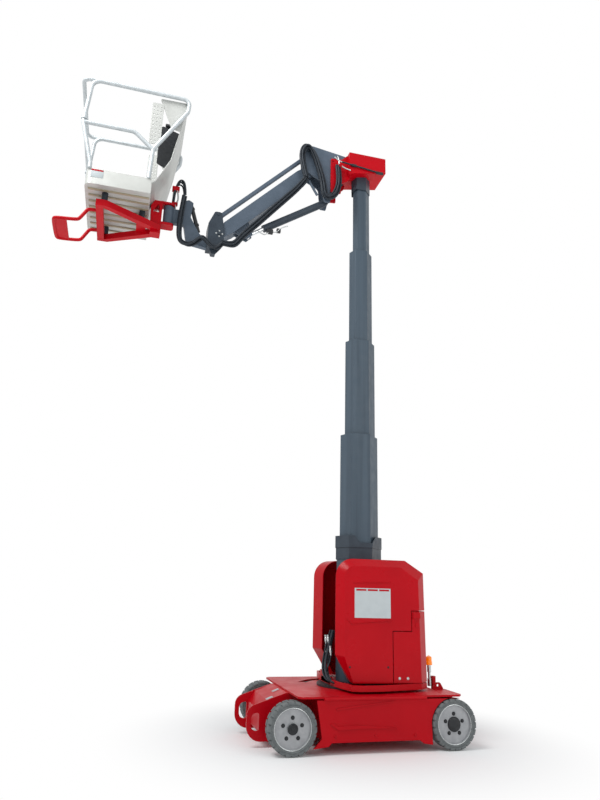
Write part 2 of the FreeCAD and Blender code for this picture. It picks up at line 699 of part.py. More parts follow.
def mast():
    for name, width, top, foot, inside, outside in MAST:
        body = new_body(name)
        bore = width - WALL_SHARE * d.mast_wall
        sketch = new_sketch(body, name + "_wall", "top", foot)
        outline(sketch, mast_outline(width))
        outline(sketch, mast_outline(bore))
        pad(body, sketch, top - foot, False)
        if inside is not None:
            sketch = new_sketch(body, name + "_mouth", "top", top - d.pad_height)
            outline(sketch, mast_outline(bore))
            outline(sketch, mast_outline(inside + 2.6 * d.pad_gap))
            pad(body, sketch, d.pad_height, False)
        if outside is not None:
            sketch = new_sketch(body, name + "_foot", "top", foot)
            outline(sketch, mast_outline(outside - WALL_SHARE * d.mast_wall - 2.6 * d.pad_gap))
            outline(sketch, mast_outline(width))
            pad(body, sketch, d.pad_height, False)
        node(place(body, (d.mast_x, 0, 0)))
    node(prism("mast_collar", "top", mast_outline(d.collar_width), d.outer_top - d.collar_foot,
               at=(d.mast_x, 0, d.collar_foot), inner=[mast_outline(d.outer_width)]))
    node(prism("head_sleeve", "top", mast_outline(d.fourth_width + 2 * d.sleeve_wall),
               d.head_low - d.sleeve_foot + 90, at=(d.mast_x, 0, d.sleeve_foot),
               inner=[mast_outline(d.fourth_width)]))


mast()


# Mast head with the jib's bracket

tilt = d.jib_drop
jib_cos, jib_sin = cosine(tilt), sine(tilt)
link_x = d.jib_x + d.link_rise * cosine(d.link_lean)
link_z = d.jib_z + d.link_rise * sine(d.link_lean)
knuckle_x = d.jib_x + d.jib_length * jib_cos
knuckle_z = d.jib_z - d.jib_length * jib_sin
knuckle_link_x = link_x + d.jib_length * jib_cos
knuckle_link_z = link_z - d.jib_length * jib_sin
rod_pin_x = d.jib_x + d.ram_along * jib_cos - d.ram_below * jib_sin
rod_pin_z = d.jib_z - d.ram_along * jib_sin - d.ram_below * jib_cos


def head():
    box = [(-d.head_rear, d.head_low + 30), (-d.head_rear, d.head_top), (d.head_front, d.head_top - 4),
           (d.head_front, d.head_low - 60), (d.head_front - 60, d.head_low - 40)]
    outer = prism("head_box", "side", box, d.head_half * 2)
    rear, front, roof = -(d.head_rear - d.head_wall), d.head_front - d.head_wall, d.head_top - d.head_wall
    hollow = prism("head_inside", "side", [
        (rear, d.head_low + 40), (rear, roof), (front, roof), (front, d.head_low - 48),
        (d.head_front - 60, d.head_low - 29)], d.head_half * 2 - 2 * d.head_wall)
    socket = prism("head_socket", "top", mast_outline(d.fourth_width + 2 * d.sleeve_wall), 180,
                   at=(d.mast_x, 0, d.head_low - 90))
    node(cut("mast_head", outer, hollow, socket))
    cheeks = []
    for side, sign in SIDES:
        at = (0, sign * (d.cheek_inner + d.cheek_thickness / 2), 0)
        cheeks.append(prism("bracket_cheek_" + side, "side", [
            (d.head_front, d.head_low - 55), (d.ram_x - 45, d.ram_z + 30), (d.ram_x - 30, d.ram_z - 42, 12),
            (d.ram_x + 35, d.ram_z - 42, 12), (d.ram_x + 45, d.ram_z + 30), (d.ram_x + 60, d.ram_z + 200, 60),
            (d.jib_x + 60, d.jib_z - 50, 20), (d.jib_x + 75, d.jib_z + 60),
            (link_x + 60, link_z + 40, 30), (link_x - 30, link_z + 70), (d.head_front, d.head_top - 20)],
            d.cheek_thickness, at))
    pins = [rod("jib_pivot_pin", d.jib_pin, d.cheek_inner * 2, (d.jib_x, 0, d.jib_z)),
            rod("link_pivot_pin", d.jib_pin * 0.7, d.cheek_inner * 2, (link_x, 0, link_z)),
            rod("ram_foot_pin", d.jib_pin * 0.8, d.cheek_inner * 2, (d.ram_x, 0, d.ram_z))]
    node(fused("jib_bracket", *(cheeks + pins)))


head()


# Jib, levelling tube and lift cylinder

def jib():
    half, length = d.jib_depth / 2, d.jib_length
    at = (d.jib_x, 0, d.jib_z)
    eye = d.jib_eye
    beam = prism("beam_body", "side", [
        (0, -eye), (d.jib_depth, -half), (length - d.jib_depth, -half), (length, -eye),
        (length, eye), (length - d.jib_depth, half), (d.jib_depth, half), (0, eye)], d.jib_half * 2, at, tilt=tilt)
    eyes = [rod("beam_eye_top", eye, d.jib_half * 2, at),
            rod("beam_eye_foot", eye, d.jib_half * 2, (knuckle_x, 0, knuckle_z))]
    lugs = []
    for side, sign in SIDES:
        lugs.append(prism("rod_lug_" + side, "side", [
            (d.ram_along - 100, -half + 5), (d.ram_along - 38, -d.ram_below - 34), (d.ram_along + 38, -d.ram_below - 34),
            (d.ram_along + 100, -half + 5)], d.cheek_thickness, at=(
                d.jib_x, sign * (d.ram_eye_half + d.moving_gap + d.cheek_thickness / 2), d.jib_z), tilt=tilt))
    solid = fused("beam_solid", beam, *(eyes + lugs))
    bores = [rod("beam_bore_top", d.jib_pin + d.running_gap, d.jib_half * 3, at),
             rod("beam_bore_foot", d.jib_pin + d.running_gap, d.jib_half * 3, (knuckle_x, 0, knuckle_z))]
    node(cut("jib_beam", solid, *bores))
    link_at = (link_x, 0, link_z)
    eye = d.link_eye
    tube = prism("link_bar", "front", [(-20, -20, 8), (20, -20, 8), (20, 20, 8), (-20, 20, 8)], length,
                 at=(link_x + length / 2 * jib_cos, 0, link_z - length / 2 * jib_sin), tilt=tilt)
    ends = [rod("link_eye_top", eye, 40, link_at),
            rod("link_eye_foot", eye, 40, (knuckle_link_x, 0, knuckle_link_z))]
    solid = fused("link_solid", tube, *ends)
    bore = d.jib_pin * 0.7 + d.running_gap
    bores = [rod("link_bore_top", bore, 100, link_at),
             rod("link_bore_foot", bore, 100, (knuckle_link_x, 0, knuckle_link_z))]
    node(cut("levelling_tube", solid, *bores))


def ram():
    """The lift cylinder, along the line between its two pins."""
    dx, dz = (rod_pin_x - d.ram_x).value, (rod_pin_z - d.ram_z).value
    reach = math.hypot(dx, dz)
    along = Vector(dx / reach, 0, dz / reach)
    foot = Vector(d.ram_x.value, 0, d.ram_z.value)
    side = Vector(0, 1, 0)
    eye, wide = d.ram_eye.value, d.ram_eye_half.value
    tail = Part.makeCylinder(eye, 2 * wide, foot - side * wide, side)
    barrel = Part.makeCylinder(d.barrel_radius.value, d.barrel_length.value - eye, foot + along * eye * 0.8, along)
    bore = Part.makeCylinder(d.rod_radius.value + d.running_gap.value, d.barrel_length.value - d.bore_start.value,
                             foot + along * d.bore_start.value, along)
    pin_hole = Part.makeCylinder(d.jib_pin.value * 0.8 + d.running_gap.value, 3 * wide, foot - side * wide * 1.5, side)
    item = doc.addObject("Part::Feature", "lift_cylinder")
    item.Label = "lift_cylinder"
    item.Shape = tail.fuse(barrel).cut(bore.fuse(pin_hole))
    node(item)
    tip = foot + along * reach
    stem = Part.makeCylinder(d.rod_radius.value, reach - d.rod_start.value, foot + along * d.rod_start.value, along)
    eye_end = Part.makeCylinder(eye, 2 * wide, tip - side * wide, side)
    item = doc.addObject("Part::Feature", "lift_rod")
    item.Label = "lift_rod"
    item.Shape = stem.fuse(eye_end)
    node(item)


jib()
ram()


# Knuckle, riser and rotator

def knuckle():
    x, z = knuckle_x, knuckle_z
    cheeks = []
    for side, sign in SIDES:
        cheeks.append(prism("knuckle_cheek_" + side, "side", [
            (x - 55, z - 70), (x + 20, z - 150), (x + 110, z - 150), (x + 110, z + 180),
            (x + 75, z + 265, 20), (x - 25, z + 265, 20), (x - 60, z + 60)],
            d.cheek_thickness, at=(0, sign * (d.cheek_inner + d.cheek_thickness / 2), 0)))
    web = prism("knuckle_web", "side", [
        (x + 62, z - 150), (x + 110, z - 150), (x + 110, z + 180), (x + 62, z + 180)], d.cheek_inner * 2)
    pins = [rod("knuckle_pin", d.jib_pin, d.cheek_inner * 2, (x, 0, z)),
            rod("knuckle_link_pin", d.jib_pin * 0.7, d.cheek_inner * 2, (knuckle_link_x, 0, knuckle_link_z))]
    node(fused("knuckle", web, *(cheeks + pins)))
    riser = prism("riser_plate", "side", [
        (x + 110, z - 150), (x + 270, z - 142, 30), (d.rotator_x - 90, d.rotator_low + 20, 40),
        (d.rotator_x, d.rotator_low + 20), (d.rotator_x, d.rotator_high - 20),
        (d.rotator_x - 90, d.rotator_high - 20, 30), (d.rotator_x - 140, 5010), (d.rotator_x - 200, 5010),
        (x + 160, z + 60, 30), (x + 110, z + 20)], 56)
    housing = rod("rotator_housing", d.rotator_radius, d.rotator_high - d.rotator_low,
                  (d.rotator_x, 0, d.rotator_low), "z", centred=False)
    bore = rod("rotator_bore", d.jib_pin + 10 + d.running_gap, 400, (d.rotator_x, 0, d.rotator_low - 50), "z",
               centred=False)
    node(cut("riser", fused("riser_solid", riser, housing), bore))


knuckle()


# Basket

def basket():
    x, low, high = d.rotator_x, d.rotator_low, d.rotator_high
    shaft = rod("rotator_shaft", d.jib_pin + 10, high - low + 60, (x, 0, low - 30), "z", centred=False)
    plates = [prism("carrier_flange_low", "top", [(x - 55, -55, 30), (x + 80, -55), (x + 80, 55), (x - 55, 55, 30)],
                    24, at=(0, 0, low - 30)),
              prism("carrier_flange_high", "top", [(x - 55, -55, 30), (x + 80, -55), (x + 80, 55), (x - 55, 55, 30)],
                    24, at=(0, 0, high + 6)),
              prism("carrier_upright", "side", [
                  (x + 62, 4490), (x + 92, 4490), (x + 92, high + 30), (x + 62, high + 30)], 110)]
    arms = []
    for side, sign in SIDES:
        arms.append(prism("carrier_arm_" + side, "top", [
            (x + 64, sign * 0), (x + 64, sign * 54), (2480, sign * 330), (2560, sign * 330), (2560, sign * 290),
            (2510, sign * 290)], 60, at=(0, 0, 4490)))
    cross = block("carrier_cross", (2500, -300, 4495), (2560, 300, 4545))
    node(fused("basket_carrier", shaft, cross, *(plates + arms)))
    mounts = []
    for mx, my in ((2520, 300), (2520, -300), (2180, 110), (2180, -110)):
        mounts.append(rod("mount_%d_%d" % (mx, my), 28, d.floor_z - d.floor_plate - 4550,
                          (mx, my, 4550), "z", centred=False))
    node(fused("basket_mounts", *mounts))
    half = d.floor_half
    pan = block("floor_sheet", (d.floor_rear, -half, d.floor_z - d.floor_plate), (d.floor_front, half, d.floor_z))
    toes = []
    for side, sign in SIDES:
        edge = half * sign
        inner = (half - d.floor_plate) * sign
        lo, hi = (inner, edge) if sign > 0 else (edge, inner)
        toes.append(block("toe_" + side, (d.floor_rear, lo, d.floor_z), (d.floor_front, hi, d.floor_z + d.toe_height)))
    toes.append(block("toe_rear", (d.floor_rear, -half, d.floor_z), (d.floor_rear + d.floor_plate, half, d.floor_z + d.toe_height)))
    toes.append(block("toe_front", (d.floor_front - d.floor_plate, -half, d.floor_z), (d.floor_front, half, d.floor_z + d.toe_height)))
    node(fused("basket_floor", pan, *toes))
    runs = []
    for side, sign in SIDES:
        y = sign * d.rail_half
        runs.append([(2672, y, 4790.3), (2672, y, 4840), (2780, y, 5262), (2745, y, 5740), (1840, y, 5740),
                     (1850, y, 5600), (2140, y, 5110), (2150, y, 4850), (2150, y, 4790.3)])
        runs.append([(2778, y, 5262), (2320, y, 5262), (2141, y, 5105)])
    runs.append([(2690, -d.rail_half, 5740), (2830, -d.rail_half, 5740), (2830, d.rail_half, 5740),
                 (2690, d.rail_half, 5740)])
    node(tubes("guard_rails", runs, d.rail_radius, 90))
    bar_x = 2780 - (d.drop_z - d.rail_mid) * math.tan(math.radians(4.19))
    lean = as_size(-4.19)
    collars = []
    bores = []
    for side, sign in SIDES:
        y = sign * d.rail_half
        foot = (bar_x + 22 * math.tan(math.radians(4.19)), y, d.drop_z - 22)
        collars.append(rod("drop_collar_" + side, 27, 44, foot, "z", centred=False, tilt=lean))
        bores.append(rod("drop_bore_" + side, d.rail_radius + 1, 100, (bar_x + 3.6, y, d.drop_z - 50), "z",
                         centred=False, tilt=lean))
    bar = rod("drop_tube", 17, d.rail_half * 2, (bar_x, 0, d.drop_z), "y")
    node(cut("drop_bar", fused("drop_solid", bar, *collars), *bores))
    shell = prism("shell_sheet", "side", [
        (1850, 5720), (1870, 5640), (1940, 4950), (2114, 4700), (2119.7, 4700), (1946, 4955), (1876, 5640),
        (1856, 5720)], (half - 30) * 2)
    shell.Label = "back_shell"
    node(shell)
    node(prism("control_box", "side", [(1890.7, 5500), (2080, 5560), (2100, 5420), (1908, 5330)], 420))
    node(tubes("entry_step", [[(2560.3, -180, 4520), (2610, -180, 4520), (2680, -180, 4400), (2950, -180, 4380),
                               (2950, 180, 4380), (2680, 180, 4400), (2610, 180, 4520), (2560.3, 180, 4520)]], 17, 60))


basket()


# Beacon

def beacon():
    node(rod("beacon_post", 14, 180, (-700, 100, d.deck_top), "z", centred=False))
    node(rod("beacon_lens", 32, 75, (-700, 100, d.deck_top + 180), "z", centred=False))


beacon()


doc.recompute()
failed = [item.Name for item in doc.Objects if "Invalid" in item.State or "Error" in item.State]
if failed:
    raise RuntimeError("failed: " + ", ".join(failed))
for item in NODES:
    if item.Shape.isNull() or not item.Shape.isValid():
        raise RuntimeError("bad shape: " + item.Label)

os.makedirs("parts", exist_ok=True)
for item in NODES:
    item.Shape.exportStep(os.path.join("parts", item.Label + ".step"))
print("wrote %d pieces" % len(NODES))
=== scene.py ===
# %% [markdown]
# # A vertical mast lift, dressed for its portrait
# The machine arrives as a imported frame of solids: chassis, turret, mast, jib and basket. This
# script gives every surface its finish and adds what is too fine for the solids: tread, bolts,
# hoses, plates and screws. Lengths are in metres, X points forwards, Y to the left and Z up.

# %% Load the frame
import math

import bmesh
import bpy
from mathutils import Matrix, Vector
from mathutils.geometry import tessellate_polygon


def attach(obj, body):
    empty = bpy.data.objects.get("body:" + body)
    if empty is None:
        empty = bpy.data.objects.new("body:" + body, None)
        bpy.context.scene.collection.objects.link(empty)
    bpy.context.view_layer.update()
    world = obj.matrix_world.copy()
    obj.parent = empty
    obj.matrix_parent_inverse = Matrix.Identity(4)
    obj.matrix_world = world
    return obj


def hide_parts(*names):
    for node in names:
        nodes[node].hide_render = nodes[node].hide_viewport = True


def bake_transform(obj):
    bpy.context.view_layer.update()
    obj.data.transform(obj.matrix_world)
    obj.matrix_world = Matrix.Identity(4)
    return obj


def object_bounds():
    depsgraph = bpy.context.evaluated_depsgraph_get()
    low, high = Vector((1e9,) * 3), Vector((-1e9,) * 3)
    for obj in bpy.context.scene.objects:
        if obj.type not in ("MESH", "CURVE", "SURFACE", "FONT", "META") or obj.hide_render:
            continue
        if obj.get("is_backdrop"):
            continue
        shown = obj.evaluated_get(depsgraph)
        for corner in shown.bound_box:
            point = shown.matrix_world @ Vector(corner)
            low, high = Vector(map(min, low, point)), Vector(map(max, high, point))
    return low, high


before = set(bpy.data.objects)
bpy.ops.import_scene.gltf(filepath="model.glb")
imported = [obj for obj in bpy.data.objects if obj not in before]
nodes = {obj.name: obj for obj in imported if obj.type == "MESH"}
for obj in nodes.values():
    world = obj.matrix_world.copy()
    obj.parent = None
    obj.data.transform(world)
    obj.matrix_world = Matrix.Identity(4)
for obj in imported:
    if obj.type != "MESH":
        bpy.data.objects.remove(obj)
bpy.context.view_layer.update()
print("pieces in the frame:", len(nodes))

# %% [markdown]
# ## Two helpers used throughout
# The camera, the lamps and every new piece are objects that have to be linked to the scene, and each
# finish and each repeat is a tree of nodes. Both jobs are short, so one function does each of them.


# %% Objects and nodes
def linked(name, data):
    """An object with its data, linked to the scene."""
    made = bpy.data.objects.new(name, data)
    bpy.context.scene.collection.objects.link(made)
    return made


def tree_node(tree, kind, links=(), values=(), **settings):
    """A node with its settings, its incoming links and its plain values."""
    made = tree.nodes.new(kind)
    for name, value in settings.items():
        setattr(made, name, value)
    for name, source in links:
        tree.links.new(source, made.inputs[name])
    for name, value in values:
        made.inputs[name].default_value = value
    return made


# %% [markdown]
# ## The camera
# The picture was taken from the front left, about 6 m off and from chest height, with the lens
# tipped up so that the raised basket still fits. A camera can be aimed by hand or built from
# three directions. The second way is used, because yaw, pitch and roll can then be read as
# numbers, and the field of view follows from the focal length in pixels.


# %% Camera
EYE = Vector((2.086, 5.704, 1.207))
YAW, PITCH, ROLL = -0.266, 0.287, 0.028
FOCAL_PIXELS, PICTURE_HEIGHT = 638.75, 800
SENSOR_MM = 32.0

forward = Vector((math.cos(PITCH) * math.sin(YAW), -math.cos(PITCH) * math.cos(YAW), math.sin(PITCH)))
level_right = forward.cross(Vector((0, 0, 1))).normalized()
level_up = level_right.cross(forward)

forward = Vector((math.cos(PITCH) * math.sin(YAW), -math.cos(PITCH) * math.cos(YAW), math.sin(PITCH)))
level_right = forward.cross(Vector((0, 0, 1))).normalized()
level_up = level_right.cross(forward)
right = level_right * math.cos(ROLL) + level_up * math.sin(ROLL)
up = right.cross(forward)

lens = bpy.data.cameras.new("lens")
lens.sensor_fit = "VERTICAL"
lens.sensor_height = SENSOR_MM
lens.lens = FOCAL_PIXELS / PICTURE_HEIGHT * SENSOR_MM
camera = linked("camera", lens)
turn = Matrix((right, up, -forward)).transposed().to_4x4()
camera.matrix_world = Matrix.Translation(EYE) @ turn
bpy.context.scene.camera = camera
print("focal length %.2f mm, looking along" % lens.lens, forward)

# %% [markdown]
# ## Light and floor
# The machine stood in open, even daylight and was cut out on white. A studio version of that is a
# white room seen only by the camera and by reflections, a dimmer dome that does the lighting, and
# two large soft lamps so that faces turn away from each other. The floor is pale under the wheels,
# where it keeps the shadow, and passes into plain white further out, so that no horizon shows.

# %% World
ROOM_COLOUR, ROOM_STRENGTH = (1, 1, 1, 1), 1.0
DOME_COLOUR, DOME_STRENGTH = (0.93, 0.97, 1.0, 1), 0.5
world = bpy.data.worlds.new("studio")
bpy.context.scene.world = world
world.use_nodes = True
sky = world.node_tree
sky.nodes.clear()
path = sky.nodes.new("ShaderNodeLightPath").outputs
seen = tree_node(sky, "ShaderNodeMath", [(0, path["Is Camera Ray"]), (1, path["Is Glossy Ray"])],
                 operation="MAXIMUM")
seen_through = tree_node(sky, "ShaderNodeMath", [(0, seen.outputs[0]), (1, path["Is Transmission Ray"])],
                         operation="MAXIMUM")
white_room = tree_node(sky, "ShaderNodeBackground", (), [("Color", ROOM_COLOUR), ("Strength", ROOM_STRENGTH)])
dome = tree_node(sky, "ShaderNodeBackground", (), [("Color", DOME_COLOUR), ("Strength", DOME_STRENGTH)])
room_or_dome = tree_node(sky, "ShaderNodeMixShader", [
    (0, seen_through.outputs[0]), (1, dome.outputs[0]), (2, white_room.outputs[0])])
tree_node(sky, "ShaderNodeOutputWorld", [(0, room_or_dome.outputs[0])])
bpy.context.scene.view_settings.view_transform = "Standard"
print("dome at %.1f of the room" % (DOME_STRENGTH / ROOM_STRENGTH))


# %% Lamps
def soft_lamp(name, at, aim, size, watts):
    """A square area lamp at one point, aimed at another."""
    light = bpy.data.lights.new(name, "AREA")
    light.size = size
    light.energy = watts
    lamp = linked(name, light)
    lamp.rotation_euler = (Vector(aim) - Vector(at)).to_track_quat("-Z", "Y").to_euler()
    lamp.location = at
    return lamp


lamps = [
    soft_lamp("key", (5.0, 2.5, 9.0), (0.3, 0, 2.5), 3.5, 420),
    soft_lamp("side_fill", (-3.5, 6.5, 5.0), (0, 0, 2.0), 4.0, 90),
]
print("lamps:", [lamp.name for lamp in lamps])

# %% Floor
FLOOR_RADIUS = 30.0
SHADOW_REACH = 0.6
WHITE_FROM = 2.2

floor_mesh = bpy.data.meshes.new("floor")
floor_form = bmesh.new()
bmesh.ops.create_circle(floor_form, cap_ends=True, segments=96, radius=FLOOR_RADIUS)
floor_form.to_mesh(floor_mesh)
floor_form.free()
floor = linked("floor", floor_mesh)
floor_finish = bpy.data.materials.new("pale_floor")
floor_finish.use_nodes = True
tree = floor_finish.node_tree
tree.nodes.clear()
place = tree.nodes.new("ShaderNodeTexCoord")
reach = tree_node(tree, "ShaderNodeVectorMath", [(0, place.outputs["Object"])], operation="LENGTH")
fade = tree_node(tree, "ShaderNodeMapRange", [("Value", reach.outputs["Value"])],
                 [("From Min", SHADOW_REACH), ("From Max", WHITE_FROM)], interpolation_type="SMOOTHSTEP")
matt = tree_node(tree, "ShaderNodeBsdfDiffuse", (), [("Color", (0.93, 0.93, 0.93, 1))])
white = tree_node(tree, "ShaderNodeEmission", (), [("Strength", 1.0)])
faded = tree_node(tree, "ShaderNodeMixShader", [
    (0, fade.outputs["Result"]), (1, matt.outputs[0]), (2, white.outputs[0])])
tree_node(tree, "ShaderNodeOutputMaterial", [(0, faded.outputs[0])])
floor.data.materials.append(floor_finish)
floor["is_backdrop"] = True
print("floor fades to white from %.1f to %.1f m" % (SHADOW_REACH, WHITE_FROM))

# %% [markdown]
# ## A small kit for finishes
# Each finish starts from the same shader and differs in what drives it. The helper below makes a
# material with object coordinates, so that a pattern keeps its real size on every piece, and three
# small functions add what nearly every surface shows: patches of slightly other colour, patches of
# other gloss, and a fine grain. Edges are eased by a bevel in the shading, as paint rounds them.


# %% Finish helpers
class Finish:
    """A material with its shader, its object coordinates and a few ways to vary it."""

    def __init__(self, name, colour, roughness, metallic=0.0, coat=0.0, coat_roughness=0.1, specular=0.3):
        self.material = bpy.data.materials.new(name)
        self.material.use_nodes = True
        self.tree = self.material.node_tree
        self.shader = self.tree.nodes["Principled BSDF"]
        self.place = self.tree.nodes.new("ShaderNodeTexCoord").outputs["Object"]
        self.colour = (*colour, 1)
        self.set(("Base Color", self.colour), ("Roughness", roughness), ("Metallic", metallic),
                 ("Specular IOR Level", specular), ("Coat Weight", coat), ("Coat Roughness", coat_roughness))

    def set(self, *sockets):
        for socket, value in sockets:
            self.shader.inputs[socket].default_value = value

    def node(self, kind, links, values=(), **settings):
        return tree_node(self.tree, kind, links, values, **settings)

    def drive(self, socket, source):
        self.tree.links.new(source, self.shader.inputs[socket])

    def stretched(self, scale):
        """Coordinates scaled by axis, for a grain that runs one way."""
        return self.node("ShaderNodeMapping", [("Vector", self.place)], [("Scale", scale)]).outputs[0]

    def noise(self, scale, detail=3.0, place=None):
        return self.node("ShaderNodeTexNoise", [("Vector", place or self.place)],
                         [("Scale", scale), ("Detail", detail)]).outputs["Fac"]

    def spread(self, value, low, high, start=0.3, end=0.7):
        """Map a noise to a range of values."""
        return self.node("ShaderNodeMapRange", [("Value", value)], [
            ("From Min", start), ("From Max", end), ("To Min", low), ("To Max", high)]).outputs["Result"]

    def tinted(self, value, other):
        """Blend the base colour towards another one by a value."""
        mix = self.node("ShaderNodeMix", [("Factor", value)], [("A", self.colour), ("B", (*other, 1))],
                        data_type="RGBA")
        self.drive("Base Color", mix.outputs["Result"])

    def gloss(self, value):
        self.drive("Roughness", value)

    def relief(self, height, depth, edge=0.0):
        """Bump from a height; edge is the radius by which sharp corners are eased in the shading."""
        bump = self.node("ShaderNodeBump", [("Height", height)], [("Distance", depth), ("Strength", 1.0)])
        if edge:
            eased = self.node("ShaderNodeBevel", (), [("Radius", edge)], samples=4)
            self.tree.links.new(eased.outputs[0], bump.inputs["Normal"])
        self.drive("Normal", bump.outputs[0])


def srgb(red, green, blue):
    """A colour read as 0-255 screen values, turned to the shader's linear numbers."""
    def linear(value):
        value = value / 255
        return value / 12.92 if value <= 0.04045 else ((value + 0.055) / 1.055) ** 2.4
    return linear(red), linear(green), linear(blue)


def patchy(name, colour, roughness, tint, gloss=(), relief=(), extra=(), **settings):
    """A finish whose tint, gloss and relief each follow a noise of a scale and a detail."""
    made = Finish(name, srgb(*colour), roughness, **settings)
    scale, detail, amount, other = tint
    made.tinted(made.spread(made.noise(scale, detail), 0.0, amount), srgb(*other))
    if gloss:
        made.gloss(made.spread(made.noise(*gloss[:2]), *gloss[2:]))
    if relief:
        made.relief(made.noise(*relief[:2]), *relief[2:])
    made.set(*extra)
    return made.material


# %% [markdown]
# ## Red paint and red mouldings
# The chassis, head and carrier are sprayed steel: a deep red, faintly uneven, with the fine orange
# peel of powder coat. The turret covers are moulded and glossier, with a clear coat that mirrors the
# sky along their bevels. Both share one function, because only gloss and peel differ.


# %% Red finishes
RED = srgb(193, 0, 20)
RED_DEEP = srgb(165, 0, 16)
EDGE_EASE = 0.004


def red_finish(name, roughness, coat, peel, peel_depth):
    made = Finish(name, RED, roughness, coat=coat, coat_roughness=0.12, specular=0.12)
    made.tinted(made.spread(made.noise(2.2, 4), 0.0, 0.55), RED_DEEP)
    made.gloss(made.spread(made.noise(9, 5), roughness - 0.05, roughness + 0.07))
    made.relief(made.noise(peel, 2), peel_depth, EDGE_EASE)
    return made.material


red_paint = red_finish("red_paint", 0.42, 0.06, 420, 0.00012)
red_gloss = red_finish("red_gloss", 0.30, 0.09, 150, 0.00010)
print("red finishes:", red_paint.name, red_gloss.name)

# %% [markdown]
# ## Grey paint on the mast and jib
# The mast sections are folded steel in a blue-grey satin paint. Guides rub them as they slide, so
# the real ones show long faint streaks along their length, and each section looks a shade different.
# A noise that is squeezed across and stretched along the height gives those streaks.

# %% Grey finishes
GREY = srgb(74, 88, 100)
GREY_DARK = srgb(50, 62, 73)


def grey_finish(name, colour, dark, grain):
    made = Finish(name, colour, 0.46, coat=0.05, coat_roughness=0.25, specular=0.25)
    streaks = made.noise(1.0, 6, made.stretched(grain))
    made.tinted(made.spread(streaks, 0.0, 0.6, 0.35, 0.75), dark)
    made.gloss(made.spread(made.noise(14, 4), 0.36, 0.52))
    made.relief(made.noise(380, 2), 0.00012, EDGE_EASE)
    return made.material


MAST_GRAIN = (24, 24, 0.8)
mast_grey = grey_finish("mast_grey", GREY, GREY_DARK, MAST_GRAIN)
jib_grey = grey_finish("jib_grey", srgb(88, 100, 114), srgb(66, 80, 92), (9, 9, 9))
collar_grey = grey_finish("collar_grey", srgb(56, 66, 76), srgb(38, 46, 56), (12, 12, 12))
print("grey finishes:", mast_grey.name, jib_grey.name, collar_grey.name)

# %% [markdown]
# ## Bare aluminium
# The basket is mill-finish aluminium: tubes with a soft drawn grain, and sheets whose rolling marks
# run one way. It isn't polished, so the roughness stays high and the metal reads pale grey. The ribs
# under the floor get a darker, warmer finish: painted shade and a painted reflection of the warm ground.


# %% Aluminium finishes
def aluminium(name, colour, roughness, grain, blotch):
    made = Finish(name, colour, roughness, metallic=0.35, specular=0.4)
    lines = made.noise(1.0, 5, made.stretched(grain))
    made.tinted(made.spread(made.noise(blotch, 4), 0.0, 0.8), tuple(c * 0.80 for c in colour))
    made.gloss(made.spread(lines, roughness - 0.08, roughness + 0.12))
    made.relief(lines, 0.00025, 0.002)
    return made.material


tube_aluminium = aluminium("tube_aluminium", srgb(205, 212, 215), 0.38, (60, 60, 60), 18)
sheet_aluminium = aluminium("sheet_aluminium", srgb(200, 202, 198), 0.46, (260, 260, 3), 5)
# darker and warmer than the sheet: painted shade and a painted warm reflection of the ground, for the ribs
# under the floor
painted_bounce_aluminium = aluminium("painted_bounce_aluminium", srgb(176, 164, 140), 0.5, (4, 180, 180), 6)
print("aluminium:", tube_aluminium.name, sheet_aluminium.name, painted_bounce_aluminium.name)

# %% [markdown]
# ## Rubber, plastic, steel and lamp
# The tyres are solid, non-marking grey rubber: matt, a little dusty, and mottled. The rims are silver
# paint over pressed steel. Hoses and gaiters are black rubber, the control box is grained plastic,
# the rods are hard chrome, and the beacon is a clear amber moulding over a reflector with a painted glow.

# %% Other finishes
# after the roughness: tint by scale, detail, amount and colour, gloss by scale, detail and range,
# relief by scale, detail, depth and eased edge
tyre_rubber = patchy("tyre_rubber", (120, 124, 124), 0.82, (35, 6, 0.8, (92, 97, 99)), (),
                     (600, 3, 0.0003, 0.003))
rim_silver = patchy("rim_silver", (172, 174, 176), 0.40, (22, 5, 0.7, (146, 148, 152)), (40, 4, 0.34, 0.52),
                    (500, 2, 0.0001, 0.002), metallic=0.35)
hose_rubber = patchy("hose_rubber", (24, 30, 38), 0.5, (60, 4, 1.0, (44, 52, 60)), (90, 3, 0.38, 0.62),
                     (900, 2, 0.0002))
black_steel = patchy("black_steel", (30, 32, 35), 0.55, (30, 5, 0.8, (48, 50, 52)), (),
                     (350, 3, 0.0002, 0.002), coat=0.1)
box_plastic = patchy("box_plastic", (40, 43, 47), 0.6, (20, 4, 0.6, (54, 57, 61)), (),
                     (900, 2, 0.0003, 0.004))
bright_steel = patchy("bright_steel", (206, 210, 210), 0.28, (80, 4, 0.8, (166, 170, 170)),
                      (120, 3, 0.2, 0.42), metallic=0.9)
# the lens's faint emission is a painted glow, light put into its finish
amber = patchy("amber_lens_painted_glow", (250, 140, 12), 0.18, (45, 2, 0.7, (255, 165, 40)), coat=0.6, extra=[
    ("Emission Color", (*srgb(255, 140, 10), 1)), ("Emission Strength", 0.25), ("Transmission Weight", 0.15)])
plate_white = patchy("plate_white", (196, 204, 206), 0.45, (14, 3, 0.6, (184, 192, 195)), coat=0.2)

rod = Finish("hard_chrome", srgb(225, 228, 230), 0.12, metallic=1.0)
rod.gloss(rod.spread(rod.noise(60, 3, rod.stretched((1, 60, 60))), 0.08, 0.2))
chrome = rod.material
print("finishes made so far, with the floor's:", len(bpy.data.materials))

# %% [markdown]
# ## Dress the carried-over solids
# Every solid of the frame keeps its shape and only changes its finish. A table of name beginnings
# says which finish goes where, and a piece that no line covers stops the script.

